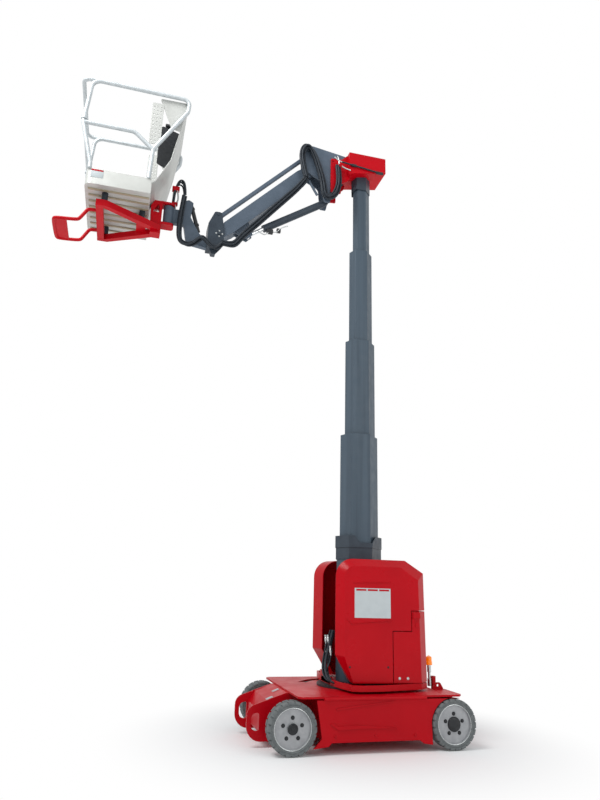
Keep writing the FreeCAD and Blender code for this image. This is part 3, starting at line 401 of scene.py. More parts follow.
# %% Give every solid its finish
STARTS = [
    # finish, beginnings of the pieces' names
    (tyre_rubber, ("tyre_",)),
    (rim_silver, ("rim_",)),
    (red_gloss, ("cover_", "side_panel_")),
    (mast_grey, ("mast_section_", "outer_mast")),
    (jib_grey, ("jib_bracket", "jib_beam", "levelling_tube", "riser")),
    (collar_grey, ("mast_collar", "head_sleeve", "lift_cylinder", "knuckle")),
    (chrome, ("lift_rod",)),
    (tube_aluminium, ("guard_rails", "drop_bar")),
    (sheet_aluminium, ("basket_floor", "back_shell")),
    (hose_rubber, ("basket_mounts",)),
    (box_plastic, ("control_box", "battery_")),
    (amber, ("beacon_lens",)),
    (bright_steel, ("beacon_post",)),
    (black_steel, ("front_axle", "rear_final_drives", "slewing_ring", "steering_knuckle_")),
    (red_paint, ("mast_head", "basket_carrier", "entry_step", "turret_base", "counterweight", "chassis_frame",
                 "deck", "side_skirt_", "nose_plate_")),
]
for name, piece in nodes.items():
    fitting = [material for material, starts in STARTS if name.startswith(starts)]
    if not fitting:
        raise RuntimeError("no finish for " + name)
    piece.data.materials.clear()
    piece.data.materials.append(fitting[0])
print("dressed", len(nodes), "solids")

# %% [markdown]
# ## Tools for shapes and for repeats
# Two kinds of piece follow. A turned, cut or swept form is written in mesh code from its profile.
# What repeats is grown by Geometry Nodes, from named inputs, and kept as a plain mesh at the end.
# The helpers below serve both, and the last two let a piece ride on a body of the machine.


# %% Mesh helpers
def sharpened(mesh, angle):
    """Smooth shading, with a sharp edge where faces meet at more than the angle."""
    mesh.shade_smooth()
    mesh.set_sharp_from_angle(angle=math.radians(angle))


def shown_mesh(holder):
    """The mesh that an object shows, with its modifiers or its curve applied."""
    bpy.context.view_layer.update()
    return bpy.data.meshes.new_from_object(holder.evaluated_get(bpy.context.evaluated_depsgraph_get()))


def new_object(name, form, material, smooth=30):
    """A finished mesh object from a bmesh, its faces turned outwards."""
    bmesh.ops.remove_doubles(form, verts=form.verts, dist=1e-6)
    bmesh.ops.recalc_face_normals(form, faces=form.faces)
    mesh = bpy.data.meshes.new(name)
    form.to_mesh(mesh)
    form.free()
    mesh.materials.append(material)
    if smooth:
        sharpened(mesh, smooth)
    return linked(name, mesh)


# %% Spun and boxed forms
def spun(form, profile, centre, sign=1, steps=64, start=0.0, sweep=math.tau):
    """Spin a closed profile of (radius, across) about the wheel's axis, which runs along Y."""
    whole = abs(sweep - math.tau) < 1e-6
    rings = []
    for i in range(steps if whole else steps + 1):
        angle = start + sweep * i / steps
        rings.append([form.verts.new((centre[0] + r * math.sin(angle), centre[1] + sign * y,
                                      centre[2] + r * math.cos(angle))) for r, y in profile])
    pairs = zip(rings, rings[1:] + rings[:1]) if whole else zip(rings, rings[1:])
    for one, two in pairs:
        for j in range(len(profile)):
            k = (j + 1) % len(profile)
            form.faces.new((one[j], one[k], two[k], two[j]))
    if not whole:
        form.faces.new(rings[0])
        form.faces.new(list(reversed(rings[-1])))
    return form


def boxed(form, low, high, bevel=0.0):
    """A block between two corners, with its edges eased."""
    made = bmesh.ops.create_cube(form, size=1)["verts"]
    for vert in made:
        vert.co = Vector((low[i] + (vert.co[i] + 0.5) * (high[i] - low[i]) for i in range(3)))
    if bevel:
        edges = list({edge for vert in made for edge in vert.link_edges})
        bmesh.ops.bevel(form, geom=edges, offset=bevel, segments=2, affect="EDGES", profile=0.5)
    return made


# %% Hoses and joined pieces
def hose_run(name, points, radius, material, sides=4):
    """A hose or cable along a smooth curve through the places where it is led."""
    curve = bpy.data.curves.new(name, "CURVE")
    curve.dimensions = "3D"
    curve.bevel_depth = radius
    curve.bevel_resolution = sides
    curve.use_fill_caps = True
    line = curve.splines.new("NURBS")
    line.points.add(len(points) - 1)
    for spot, point in zip(line.points, points):
        spot.co = (*point, 1)
    line.order_u = 4
    line.use_endpoint_u = True
    line.resolution_u = 8
    holder = linked(name + "_line", curve)
    mesh = shown_mesh(holder)
    bpy.data.objects.remove(holder)
    mesh.materials.clear()
    mesh.materials.append(material)
    mesh.shade_smooth()
    return linked(name, mesh)


def joined(name, pieces):
    """Merge several objects of one finish to one."""
    form = bmesh.new()
    for piece in pieces:
        form.from_mesh(piece.data)
    for face in form.faces:
        face.material_index = 0
    mesh = bpy.data.meshes.new(name)
    form.to_mesh(mesh)
    form.free()
    mesh.materials.append(pieces[0].data.materials[0])
    for piece in pieces:
        bpy.data.objects.remove(piece)
    return linked(name, mesh)


# %% Pieces that ride on the machine
def carried(piece, body, instead=None):
    """Let a piece ride on a body and put it in the place of a solid."""
    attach(piece, body)
    if instead:
        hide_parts(instead)
    return piece


def settle(name, form, material, body, instead=None, smooth=25):
    """Finish a piece of mesh code and let it ride."""
    return carried(new_object(name, form, material, smooth), body, instead)


# %% Turned small parts
def polar(angle, radius, x=0.0, y=0.0):
    """The point at an angle and a radius round another one."""
    return x + radius * math.cos(angle), y + radius * math.sin(angle)


def turns(steps):
    return [math.tau * i / steps for i in range(steps)]


def circle(x, y, radius, steps=24):
    return [polar(a, radius, x, y) for a in turns(steps)]


def lathe(form, profile, base, axis, steps=24):
    """Turn a profile of (radius, height) round an axis; radius 0 closes an end."""
    axis = Vector(axis).normalized()
    across = axis.orthogonal().normalized()
    other = axis.cross(across)
    rings = []
    for radius, height in profile:
        middle = Vector(base) + axis * height
        spots = circle(0, 0, radius, steps) if radius else [(0, 0)]
        rings.append([form.verts.new(middle + across * a + other * b) for a, b in spots])
    for one, two in zip(rings, rings[1:]):
        for i in range(steps):
            j = (i + 1) % steps
            if len(one) == 1:
                form.faces.new((one[0], two[i], two[j]))
            elif len(two) == 1:
                form.faces.new((one[i], two[0], one[j]))
            else:
                form.faces.new((one[i], one[j], two[j], two[i]))
    return form


def stud(form, base, axis, radius, height, steps=24, ease=0.15):
    """A plain turned boss with an eased rim."""
    trim = radius * ease
    return lathe(form, [(0, 0), (radius, 0), (radius, height - trim), (radius - trim, height), (0, height)],
                 base, axis, steps)


# %% Geometry trees
def new_tree(name, inputs):
    """An empty geometry tree and its input node; inputs are (name, kind, default)."""
    tree = bpy.data.node_groups.new(name, "GeometryNodeTree")
    for label, kind, default in inputs:
        socket = tree.interface.new_socket(label, in_out="INPUT", socket_type="NodeSocket" + kind)
        if default is not None:
            socket.default_value = default
    tree.interface.new_socket("Geometry", in_out="OUTPUT", socket_type="NodeSocketGeometry")
    return tree, tree.nodes.new("NodeGroupInput").outputs


def end_tree(tree, geometry, material):
    """End a tree with real instances and one finish."""
    real = tree_node(tree, "GeometryNodeRealizeInstances", [("Geometry", geometry)])
    dressed = tree_node(tree, "GeometryNodeSetMaterial", [("Geometry", real.outputs[0])],
                        [("Material", material)])
    tree_node(tree, "NodeGroupOutput", [(0, dressed.outputs[0])])
    return tree


def grown(name, tree, values, base=None, smooth=30):
    """Run a geometry tree on a mesh and keep the result as a plain mesh object."""
    holder = linked(name + "_seed", base or bpy.data.meshes.new(name + "_seed"))
    modifier = holder.modifiers.new("grow", "NODES")
    modifier.node_group = tree
    for item in tree.interface.items_tree:
        if item.in_out == "INPUT" and item.name in values:
            modifier[item.identifier] = values[item.name]
    mesh = shown_mesh(holder)
    bpy.data.objects.remove(holder)
    sharpened(mesh, smooth)
    return linked(name, mesh)


print("helpers ready")

# %% [markdown]
# ## Sheet and plate forms
# The solids carry the main shapes. The finer ones, such as the deck's wings over the front wheels,
# the D-shaped tie-down openings and the bevelled rims of the covers, are made here and take the
# place of the plainer solids. Nearly all are cut plates, so one function gives an outline its
# rounded corners and openings and a thickness between two levels. A boolean would also do it, but
# triangulating the outline once keeps the mesh light and exact.


# %% Plate helpers
def rounded(corners, steps=6):
    """Points of an outline; a corner's third number is its radius."""
    points = []
    for i, corner in enumerate(corners):
        here = Vector(corner[:2])
        radius = corner[2] if len(corner) > 2 else 0
        if not radius:
            points.append(here)
            continue
        back = (Vector(corners[i - 1][:2]) - here).normalized()
        ahead = (Vector(corners[(i + 1) % len(corners)][:2]) - here).normalized()
        half = back.angle(ahead) / 2
        middle = here + (back + ahead).normalized() * (radius / math.sin(half))
        start = here + back * (radius / math.tan(half)) - middle
        end = here + ahead * (radius / math.tan(half)) - middle
        turn = math.copysign(math.pi - 2 * half, start.x * end.y - start.y * end.x)
        first = math.atan2(start.y, start.x)
        points += [middle + Vector(polar(first + turn * k / steps, radius)) for k in range(steps + 1)]
    return points


# %% Plates cut from outlines
PLANES = {
    "top": lambda a, b, level: (a, b, level),
    "side": lambda a, b, level: (a, level, b),
    "front": lambda a, b, level: (level, a, b),
}


def slab(form, plane, outer, low, high, holes=()):
    """A plate between two levels, from an outline and its openings."""
    loops = [rounded(loop) for loop in (outer, *holes)]
    flat = [point for loop in loops for point in loop]
    fill = tessellate_polygon([[Vector((*point, 0)) for point in loop] for loop in loops])
    sheets = []
    for level in (low, high):
        sheets.append([form.verts.new(PLANES[plane](*point, level)) for point in flat])
        for three in fill:
            form.faces.new([sheets[-1][i] for i in three])
    start = 0
    for loop in loops:
        for i in range(len(loop)):
            one, two = start + i, start + (i + 1) % len(loop)
            form.faces.new((sheets[0][one], sheets[0][two], sheets[1][two], sheets[1][one]))
        start += len(loop)


def rect(x0, y0, x1, y1, *radius):
    """Four corners, each with the radius where one is given."""
    return [(x, y, *radius) for x, y in ((x0, y0), (x1, y0), (x1, y1), (x0, y1))]


def both(low, high):
    """The same two levels on the left and mirrored on the right, lowest first."""
    return [(low, high), (-high, -low)]


def crate(form, corners):
    """Six faces over eight corners, four at one level and four at the other."""
    made = [form.verts.new(corner) for corner in corners]
    for face in ((0, 1, 2, 3), (4, 5, 6, 7), (0, 1, 5, 4), (1, 2, 6, 5), (2, 3, 7, 6), (3, 0, 4, 7)):
        form.faces.new([made[i] for i in face])


SIDES = (("left", 1), ("right", -1))
print("plates lie in the planes:", sorted(PLANES))

# %% [markdown]
# ## Deck, chassis and skirts
# The deck is one sheet with rolled long edges, two lifting ears at the rear, wings over the front
# wheels and a curved recess round one side of the turret. Below it are the folded frame, the skirts
# with pressed ridges and the nose plates, whose D-shaped openings take the tie-down straps. All of
# it is flat plate, so outlines cut to the radius read truer here than a sculpted block would.

# %% Deck with its recess, rolled edges and lifting ears
DECK_LOW, DECK_TOP, DECK_HALF = 0.395, 0.410, 0.580
SLOT_RADIUS, SLOT_HALF = 0.438, 0.036
slot_turns = [math.radians(-27 - 3 * i) for i in range(19)]


def slot_end(turn, start, way):
    """Four points round an end of the recess."""
    middle = polar(turn, SLOT_RADIUS)
    return [polar(turn + start + way * math.pi * k / 5, SLOT_HALF, *middle) for k in range(1, 5)]


slot_edge = [polar(a, SLOT_RADIUS + SLOT_HALF) for a in slot_turns] + slot_end(slot_turns[-1], 0, -1)
slot_edge += [polar(a, SLOT_RADIUS - SLOT_HALF) for a in reversed(slot_turns)]
slot_edge += slot_end(slot_turns[0], math.pi, 1)

deck_form = bmesh.new()
slab(deck_form, "top", [
    (-0.760, -0.550), (-0.730, -0.580), (0.602, -0.580), (0.632, -0.550), (0.632, 0.550), (0.602, 0.580),
    (-0.730, 0.580), (-0.760, 0.550), (-0.760, 0.270), (-0.650, 0.270), (-0.650, -0.270), (-0.760, -0.270)],
    DECK_LOW, DECK_TOP, [slot_edge])
for low, high in both(0.270, 0.282):
    slab(deck_form, "side", [
        (-0.742, 0.397), (-0.742, 0.418), (-0.714, 0.464, 0.018), (-0.670, 0.464, 0.018), (-0.642, 0.418),
        (-0.642, 0.397)], low, high, [circle(-0.692, 0.440, 0.011)])
for side in (1, -1):
    stud(deck_form, (-0.436, side * (DECK_HALF - 0.0005), 0.3925), (1, 0, 0), 0.0135, 0.866, 16, 0.002)
settle("winged_deck", deck_form, red_paint, "chassis", "deck")
# A thin black sheet just below the deck's top fills the recess over the red frame: painted shade.
slot_shade_form = bmesh.new()
slab(slot_shade_form, "top", slot_edge, 0.3962, 0.3975)
settle("deck_slot_floor", slot_shade_form, black_steel, "chassis")
print("deck cut, points round its recess:", len(slot_edge))

# %% Chassis, nose plates and skirts
FRAME_TOP = 0.3949
NOSE_SLOPE = [(0.656, 0.395), (0.430, 0.395)]
REAR_X, AXLE_Z, ARCH_RADIUS = -0.675, 0.1905, 0.1985
chassis_form = bmesh.new()
slab(chassis_form, "top", rect(-0.446, -0.562, 0.430, 0.562), 0.095, FRAME_TOP)
for low, high in both(0.270, 0.430):
    slab(chassis_form, "side", [(-0.446, 0.120), (-0.446, FRAME_TOP), (-0.748, FRAME_TOP), (-0.748, 0.305),
                                (-0.690, 0.120)], low, high)
slab(chassis_form, "side", [(-0.446, 0.120), (-0.446, FRAME_TOP), (-0.650, FRAME_TOP), (-0.650, 0.330),
                            (-0.748, 0.330), (-0.748, 0.305), (-0.690, 0.120)], -0.270, 0.270)
slab(chassis_form, "side", [(0.430, 0.068), (0.816, 0.068), (0.856, 0.116), (0.856, 0.262), (0.802, 0.342)]
     + NOSE_SLOPE, -0.250, 0.250)
boxed(chassis_form, (-0.757, 0.080, 0.330), (-0.727, 0.120, 0.493), 0.003)
settle("formed_chassis", chassis_form, red_paint, "chassis", "chassis_frame")

for tag, side in SIDES:
    cheek = bmesh.new()
    slab(cheek, "side", [(0.430, 0.046), (0.968, 0.046, 0.116), (0.968, 0.292, 0.081)] + NOSE_SLOPE,
         *sorted((side * 0.250, side * 0.268)),
         [[(0.868, 0.122, 0.014), (0.932, 0.122, 0.046), (0.932, 0.254, 0.046), (0.868, 0.254, 0.014)]])
    settle("formed_nose_plate_" + tag, cheek, red_paint, "chassis", "nose_plate_" + tag)
    skirt = bmesh.new()
    arch = [polar(math.radians(104 - 12 * i), ARCH_RADIUS, REAR_X, AXLE_Z) for i in range(9)]
    slab(skirt, "side", [(0.486, 0.384), (-0.730, 0.384), (-0.730, 0.382)] + arch
         + [(-0.482, 0.048), (-0.406, 0.060), (-0.371, 0.085), (0.361, 0.085), (0.388, 0.060), (0.506, 0.048),
            (0.442, 0.115)], *sorted((side * 0.562, side * DECK_HALF)))
    for ridge, depth in ((
            [(0.375, 0.215), (0.352, 0.222), (0.318, 0.200), (0.150, 0.205), (-0.170, 0.181), (-0.170, 0.176),
             (0.150, 0.180), (0.310, 0.172)], 0.0080), (
            [(0.330, 0.312), (0.155, 0.332), (-0.150, 0.365), (-0.150, 0.372), (0.155, 0.345),
             (0.330, 0.325)], 0.0050)):
        slab(skirt, "side", ridge, *sorted((side * 0.578, side * (DECK_HALF + depth))))
    settle("formed_skirt_" + tag, skirt, red_paint, "chassis", "side_skirt_" + tag)
print("chassis, nose plates and skirts formed")

# %% [markdown]
# ## Turret base
# The turret turns on a tray of plate with a low upstand round its rim, which the covers stand over.
# A short cross plate with a sloped end stands at the front. The upstand is the outline less its own
# inset, which a boolean could also give, and the left half mirrored gives the right one.

# %% Turret base with its upstand
RIM = 0.014
BASE_LEFT = [(0.225, 0.150), (0.205, 0.320), (0.165, 0.478), (0.095, 0.505), (-0.090, 0.505), (-0.300, 0.462),
             (-0.470, 0.426), (-0.556, 0.352)]
base_outline = BASE_LEFT + [(x, -y) for x, y in reversed(BASE_LEFT)]
base_inner = [(x - math.copysign(RIM, x), y - math.copysign(RIM, y)) for x, y in base_outline]
base_form = bmesh.new()
slab(base_form, "top", base_outline, 0.4283, 0.4463)
slab(base_form, "top", base_outline, 0.4463, 0.4743, [base_inner])
slab(base_form, "front", [(-0.194, 0.436), (0.110, 0.436), (-0.012, 0.530, 0.012), (-0.190, 0.520, 0.012)],
     0.213, 0.225)
settle("turret_tray", base_form, red_paint, "turret", "turret_base")
print("points round the tray:", len(base_outline))

# %% [markdown]
# ## The moulded covers
# Each cover is a deep moulding: an open inner edge, a rim, and a side face that leans out towards
# the rear. Between the rim and the side face a slanted band runs all round the front, the top and
# the rear. It is lofted through three outlines with the same number of points, so the band comes
# out of the loft by itself. The joint with the fixed panel steps down at the rear, so each part is
# the shell less the other's blocks, which leaves a real gap between the two.

# %% Cover loft
COVER_FRONT, COVER_TOP, COVER_FOOT, COVER_WALL = 0.258, 1.468, 0.4805, 0.007
ROUND = 0.150
COVER_OUTLINES = [
    # face, chin height, toe, round's radius, drop of the top, rear, y at the front, slope to the rear
    (0.213, 0.690, 0.100, ROUND, 0.0, 0.556, 0.186, 0.0),
    (0.258, 0.690, 0.120, ROUND, 0.0, 0.556, 0.322, 0.037),
    (0.196, 0.680, 0.120, ROUND - 0.062, 0.062, 0.470, 0.376, 0.075),
]


def cover_loop(form, outline, side, inset):
    """One closed outline of the cover, counted from the toe round the front."""
    face, chin, toe, radius, drop, rear, y, slope = outline
    centre = (face if drop == 0 else COVER_FRONT) - ROUND
    face, toe, rear, radius = face - inset, toe - inset, rear - inset, radius - inset
    middle, crown, foot = COVER_TOP - ROUND, COVER_TOP - drop - inset, COVER_FOOT - inset
    spots = [(toe, foot), (face, chin), (face, middle)]
    spots += [polar(math.radians(10 * k), radius, centre, middle) for k in range(1, 10)]
    spots += [(-0.375 + drop * 1.2, crown), (0.011 - rear, COVER_TOP - 0.105 - drop - inset), (-rear, foot)]
    y = y - inset * (0 if y < 0.2 else 1)
    return [form.verts.new((x, side * (y + (COVER_FRONT - x) * slope), z)) for x, z in spots]


# %% Shell and cut
def cover_shell(name, side):
    """The outer skin and its inner side, closed round the inner edge."""
    form = bmesh.new()
    skins = [[cover_loop(form, outline, side, inset) for outline in COVER_OUTLINES]
             for inset in (0, COVER_WALL)]
    count = len(skins[0][0])
    for loops in skins:
        for one, two in zip(loops, loops[1:]):
            for i in range(count):
                j = (i + 1) % count
                form.faces.new((one[i], one[j], two[j], two[i]))
        flat = [Vector((vert.co.x, vert.co.z, 0)) for vert in loops[-1]]
        for three in tessellate_polygon([flat]):
            form.faces.new([loops[-1][i] for i in three])
    for i in range(count):
        j = (i + 1) % count
        form.faces.new((skins[0][0][i], skins[0][0][j], skins[1][0][j], skins[1][0][i]))
    return new_object(name, form, red_gloss, 0)


CUT_SHARP = 24


def less(piece, tool, keep=False):
    """Cut a tool away from a piece, or keep only what lies in it."""
    shape = piece.modifiers.new("cut", "BOOLEAN")
    shape.operation = "INTERSECT" if keep else "DIFFERENCE"
    shape.solver = "EXACT"
    shape.use_self = True
    shape.object = tool
    mesh = shown_mesh(piece)
    piece.modifiers.clear()
    piece.data = mesh
    bpy.data.objects.remove(tool)
    sharpened(mesh, CUT_SHARP)
    return piece


# %% Covers and fixed panels
PANEL_FRONT, PANEL_STEP, PANEL_NOTCH, PANEL_TOP, JOINT = -0.228, 0.880, -0.396, 1.046, 0.006


def panel_blocks(side, grow, overlap=0.0):
    """The two blocks that hold the fixed panel, grown by the width of the joint."""
    form = bmesh.new()
    inner, outer = sorted((side * 0.05, side * 0.60))
    boxed(form, (-0.60, inner, 0.40), (PANEL_FRONT + grow, outer, PANEL_STEP + grow))
    boxed(form, (-0.60, inner, PANEL_STEP - overlap), (PANEL_NOTCH + grow, outer, PANEL_TOP + grow))
    return new_object("tool", form, red_gloss, 0)


for tag, side in SIDES:
    panel = less(cover_shell("formed_panel_" + tag, side), panel_blocks(side, 0.0, 0.001), True)
    carried(panel, "turret", "side_panel_" + tag)
    door = less(cover_shell("formed_cover_" + tag, side), panel_blocks(side, JOINT))
    carried(door, "cover_door_" + tag, "cover_" + tag)
print("cover faces:", len(door.data.polygons), "panel faces:", len(panel.data.polygons))

# %% [markdown]
# ## Mast sections
# Each section is a six-sided tube, shallow to the front and deeper to the rear, and each slides in
# the one below it. The sections step down in width, and their front edges step back by less, so the
# lower sections stand a little ahead of the upper ones. A tube is one outline with a second one as
# its bore. Drawing the outline by its width keeps all the sections alike.

# %% Mast tubes and collar
MAST_X, MAST_WALL = -0.090, 0.0091


def mast_outline(width, ahead=0.0):
    """Six corners; ahead moves the front edge and with it the whole section."""
    nose, half = width / 2 + ahead, width * 0.38
    shoulder = nose - width * 0.15
    return [(MAST_X + x, y) for x, y in (
        (nose, 0), (shoulder, half), (shoulder - width / 2, half), (nose - width, 0),
        (shoulder - width / 2, -half), (shoulder, -half))]


def mast_tube(form, width, ahead, low, high, bore=None):
    bore = bore or (width - 2 * MAST_WALL, ahead)
    slab(form, "top", mast_outline(width, ahead), low, high, [mast_outline(*bore)])


MAST_PARTS = (
    # solid, body, width, ahead, foot, top
    ("outer_mast", "turret", 0.430, 0.016, 0.4463, 1.474),
    ("mast_section_1", "mast_1", 0.380, 0.015, 1.440, 2.640),
    ("mast_section_2", "mast_2", 0.312, 0.006, 2.412, 3.612),
    ("mast_section_4", "mast_4", 0.186, -0.006, 4.388, 5.750),
)
for solid, body, width, ahead, low, high in MAST_PARTS:
    tube = bmesh.new()
    mast_tube(tube, width, ahead, low, high)
    settle("wide_" + solid, tube, mast_grey, body, solid)
collar = bmesh.new()
mast_tube(collar, 0.446, 0.018, 1.4745, 1.5755, (0.4118, 0.016))
mast_tube(collar, 0.458, 0.018, 1.576, 1.682, (0.4118, 0.016))
collar = new_object("notched_collar", collar, collar_grey, 0)
notch = bmesh.new()
slab(notch, "side", [(-0.192, 1.700), (-0.192, 1.678), (-0.140, 1.620), (-0.024, 1.620), (0.028, 1.678),
                     (0.028, 1.700)], -0.3, 0.3)
less(collar, new_object("collar_tool", notch, collar_grey, 0))
carried(collar, "turret", "mast_collar")

lugs = bmesh.new()
for low, high in both(0.0823, 0.0973):
    slab(lugs, "side", [
        (0.089, 5.748), (0.103, 5.748), (0.160, 5.686), (0.285, 5.676, 0.014), (0.285, 5.255, 0.014),
        (0.170, 5.262, 0.010), (0.170, 5.378), (0.085, 5.440), (0.066, 5.499), (0.089, 5.499)], low, high,
        [circle(0.261, 5.644, 0.009)])
settle("jib_lug_cheeks", lugs, red_paint, "mast_4")
print("mast formed: collar faces", len(collar.data.polygons))

# %% [markdown]
# ## Knuckle, riser and carrier
# The jib ends in a forked knuckle. Its cheeks are cut from plate, a closed web joins them, and a
# short toe hangs below. The riser behind it is one thick plate with a deep throat. The red carrier
# grips the rotator with two flanges and holds the basket on two arms that spread to the front.

# %% Knuckle, riser and levelling ram
KNUCKLE_X, KNUCKLE_Z = 1.4308, 4.5511


def pinned(*spots):
    """An outline in side view, measured from the knuckle's pin."""
    return [(KNUCKLE_X + x, KNUCKLE_Z + z, *rest) for x, z, *rest in spots]


knuckle = bmesh.new()
for low, high in both(0.067, 0.082):
    slab(knuckle, "side", pinned((-0.050, -0.070), (0.010, -0.1495), (0.110, -0.1495), (0.110, 0.100),
                                 (0.052, 0.240, 0.025), (-0.016, 0.240, 0.025), (-0.048, 0.060)), low, high)
slab(knuckle, "side", pinned((0.062, -0.150), (0.110, -0.150), (0.110, 0.100), (0.077, 0.180),
                             (0.062, 0.180)), -0.0672, 0.0672)
slab(knuckle, "side", pinned((0.012, -0.140), (0.018, -0.205, 0.008), (0.060, -0.205, 0.008),
                             (0.084, -0.140)), -0.034, 0.034)
for side in (-1, 1):
    stud(knuckle, (KNUCKLE_X, side * 0.0815, KNUCKLE_Z), (0, side, 0), 0.018, 0.009)
    stud(knuckle, (KNUCKLE_X + 0.0183, side * 0.0815, KNUCKLE_Z + 0.2092), (0, side, 0), 0.0126, 0.007)
settle("plate_knuckle", knuckle, collar_grey, "knuckle", "knuckle")

TURN_X = 1.930
riser = bmesh.new()
slab(riser, "side", pinned(
    (0.1103, -0.150), (0.3092, -0.122, 0.02), (0.3472, 0.0689, 0.02), (0.4992, 0.0689), (0.4992, 0.2189),
    (0.3992, 0.2189, 0.02), (0.3542, 0.2689, 0.02), (0.3472, 0.334, 0.02), (0.3132, 0.349, 0.016),
    (0.2672, 0.324, 0.016), (0.2842, 0.160, 0.03), (0.199, 0.009, 0.03), (0.1103, -0.090)), -0.028, 0.028)
lathe(riser, [(0, 0), (0.048, 0), (0.052, 0.004), (0.052, 0.186), (0.048, 0.190), (0, 0.190)],
      (TURN_X, 0, 4.600), (0, 0, 1), 40)
settle("plate_riser", riser, jib_grey, "knuckle", "riser")
ram = bmesh.new()
ram_foot = Vector((1.716, 0, 4.856))
ram_way = Vector((1.628, 0, 4.572)) - ram_foot
stud(ram, ram_foot, ram_way, 0.020, ram_way.length, 20)
for share in (0.1, 0.7):
    stud(ram, ram_foot + ram_way * share, ram_way, 0.026, 0.020, 20)
settle("levelling_ram", ram, black_steel, "knuckle")
print("levelling ram is %.3f m long" % ram_way.length)

# %% Carrier with its flanges and arms
carrier = bmesh.new()
flange = [(TURN_X - 0.055, -0.055, 0.03), (TURN_X + 0.080, -0.055), (TURN_X + 0.080, 0.055),
          (TURN_X - 0.055, 0.055, 0.03)]
slab(carrier, "top", flange, 4.570, 4.594)
slab(carrier, "top", flange, 4.796, 4.820)
slab(carrier, "side", [(TURN_X + 0.066, 4.464), (TURN_X + 0.162, 4.464), (TURN_X + 0.176, 4.755),
                       (TURN_X + 0.142, 4.818), (TURN_X + 0.066, 4.818)], -0.054, 0.054,
     [[(TURN_X + 0.088, 4.690, 0.008), (TURN_X + 0.158, 4.690, 0.008), (TURN_X + 0.100, 4.792, 0.008)]])
for s in (-1, 1):
    slab(carrier, "top", [(TURN_X + 0.064, -0.02 * s), (TURN_X + 0.064, 0.0545 * s), (2.495, 0.3305 * s),
                          (2.590, 0.3305 * s), (2.590, 0.290 * s), (2.525, 0.290 * s)], 4.490, 4.550)
slab(carrier, "top", rect(2.525, -0.300, 2.5895, 0.300), 4.491, 4.549)
slab(carrier, "top", rect(2.135, -0.126, 2.225, 0.126), 4.530, 4.5505)
armed = settle("armed_carrier", carrier, red_paint, "basket", "basket_carrier")
print("carrier faces:", len(armed.data.polygons))

# %% Entry step
step = [(2.590, -0.180, 4.520)]
step += [(2.655, -0.184, 4.520), (2.668, -0.185, 4.505), (2.722, -0.189, 4.402), (2.740, -0.190, 4.386),
         (2.905, -0.190, 4.376), (2.938, -0.182, 4.374), (2.951, -0.160, 4.373)]
step += [(x, -y, z) for x, y, z in reversed(step)]
tread = bmesh.new()
slab(tread, "top", rect(2.832, -0.184, 2.948, 0.184), 4.372, 4.378)
for i in range(7):
    slab(tread, "top", rect(2.838 + 0.016 * i, -0.170, 2.843 + 0.016 * i, 0.170), 4.377, 4.381)
tread = new_object("step_tread", tread, red_paint)
bow = hose_run("step_bow", step, 0.016, red_paint)
carried(joined("bent_step", [bow, tread]), "basket", "entry_step")
print("places along the step's tube:", len(step))

# %% [markdown]
# ## Basket and beacon
# The basket's floor is a shallow tray with upright toe boards and pressed ribs below, folded from
# sheet. Behind it a sheet shell slants up to the top rail and carries the control box. The beacon is
# a turned post on the deck with a ringed lens. Sheets are cut outlines again, and the beacon is two
# profiles turned on a lathe, since every ring on it runs round one axis.

# %% Basket floor with its ribs and the slanted back shell
floor_pan = bmesh.new()
FLOOR_EDGE = [(2.120, -0.430), (2.700, -0.430, 0.060), (2.700, 0.430, 0.060), (2.120, 0.430)]
slab(floor_pan, "top", FLOOR_EDGE, 4.634, 4.640)
slab(floor_pan, "top", FLOOR_EDGE, 4.6402, 4.790,
     [[(2.126, -0.424), (2.694, -0.424, 0.054), (2.694, 0.424, 0.054), (2.126, 0.424)]])
settle("basket_tray", floor_pan, sheet_aluminium, "basket", "basket_floor")
ribs = bmesh.new()
for i in range(8):
    y = -0.350 + 0.1 * i
    slab(ribs, "top", rect(2.128, y - 0.011, 2.670, y + 0.011), 4.6255, 4.6345)
# the ribs' darker, warmer finish is painted shade and a painted reflection of the ground
settle("tray_ribs", ribs, painted_bounce_aluminium, "basket")
shell = bmesh.new()
slab(shell, "side", [
    (1.850, 5.720), (1.868, 5.640), (1.904, 5.380), (1.965, 5.050), (2.084, 4.800), (2.1197, 4.760),
    (2.1197, 4.769), (2.091, 4.801), (1.972, 5.052), (1.911, 5.382), (1.875, 5.641), (1.857, 5.720)],
    -0.400, 0.400)
for low, high in both(0.3945, 0.3995):
    slab(shell, "side", [(1.853, 5.719), (2.120, 5.712, 0.014), (1.992, 5.398, 0.024), (1.906, 5.382)],
         low, high)
settle("formed_back_shell", shell, sheet_aluminium, "basket", "back_shell")
print("basket's tray, ribs and back shell formed")

# %% Control box in front of the shell
control = bmesh.new()
slab(control, "side", [(1.8953, 5.500, 0.008), (2.080, 5.560, 0.020), (2.100, 5.420, 0.020),
                       (1.9214, 5.330, 0.008)], -0.210, 0.210)
for i in range(4):
    stud(control, (2.055, -0.135 + 0.09 * i, 5.5505), (-0.31, 0, 0.95), 0.015, 0.022, 16)
settle("sloped_control_box", control, box_plastic, "basket", "control_box")
print("control box set on the shell")

# %% Beacon
BEACON = (-0.704, 0.100)
post = bmesh.new()
lathe(post, [(0, 0), (0.0175, 0), (0.0175, 0.062), (0.012, 0.066), (0.012, 0.112), (0.0175, 0.116),
             (0.0175, 0.174), (0, 0.174)], (*BEACON, 0.4105), (0, 0, 1), 24)
settle("turned_beacon_post", post, bright_steel, "chassis", "beacon_post")
lens = bmesh.new()
lathe(lens, [(0, 0), (0.029, 0), (0.029, 0.028), (0.026, 0.031), (0.026, 0.060), (0.024, 0.063),
             (0.024, 0.068), (0, 0.080)], (*BEACON, 0.585), (0, 0, 1), 36)
settle("ringed_beacon_lens", lens, amber, "chassis", "beacon_lens")
print("beacon turned at", BEACON)

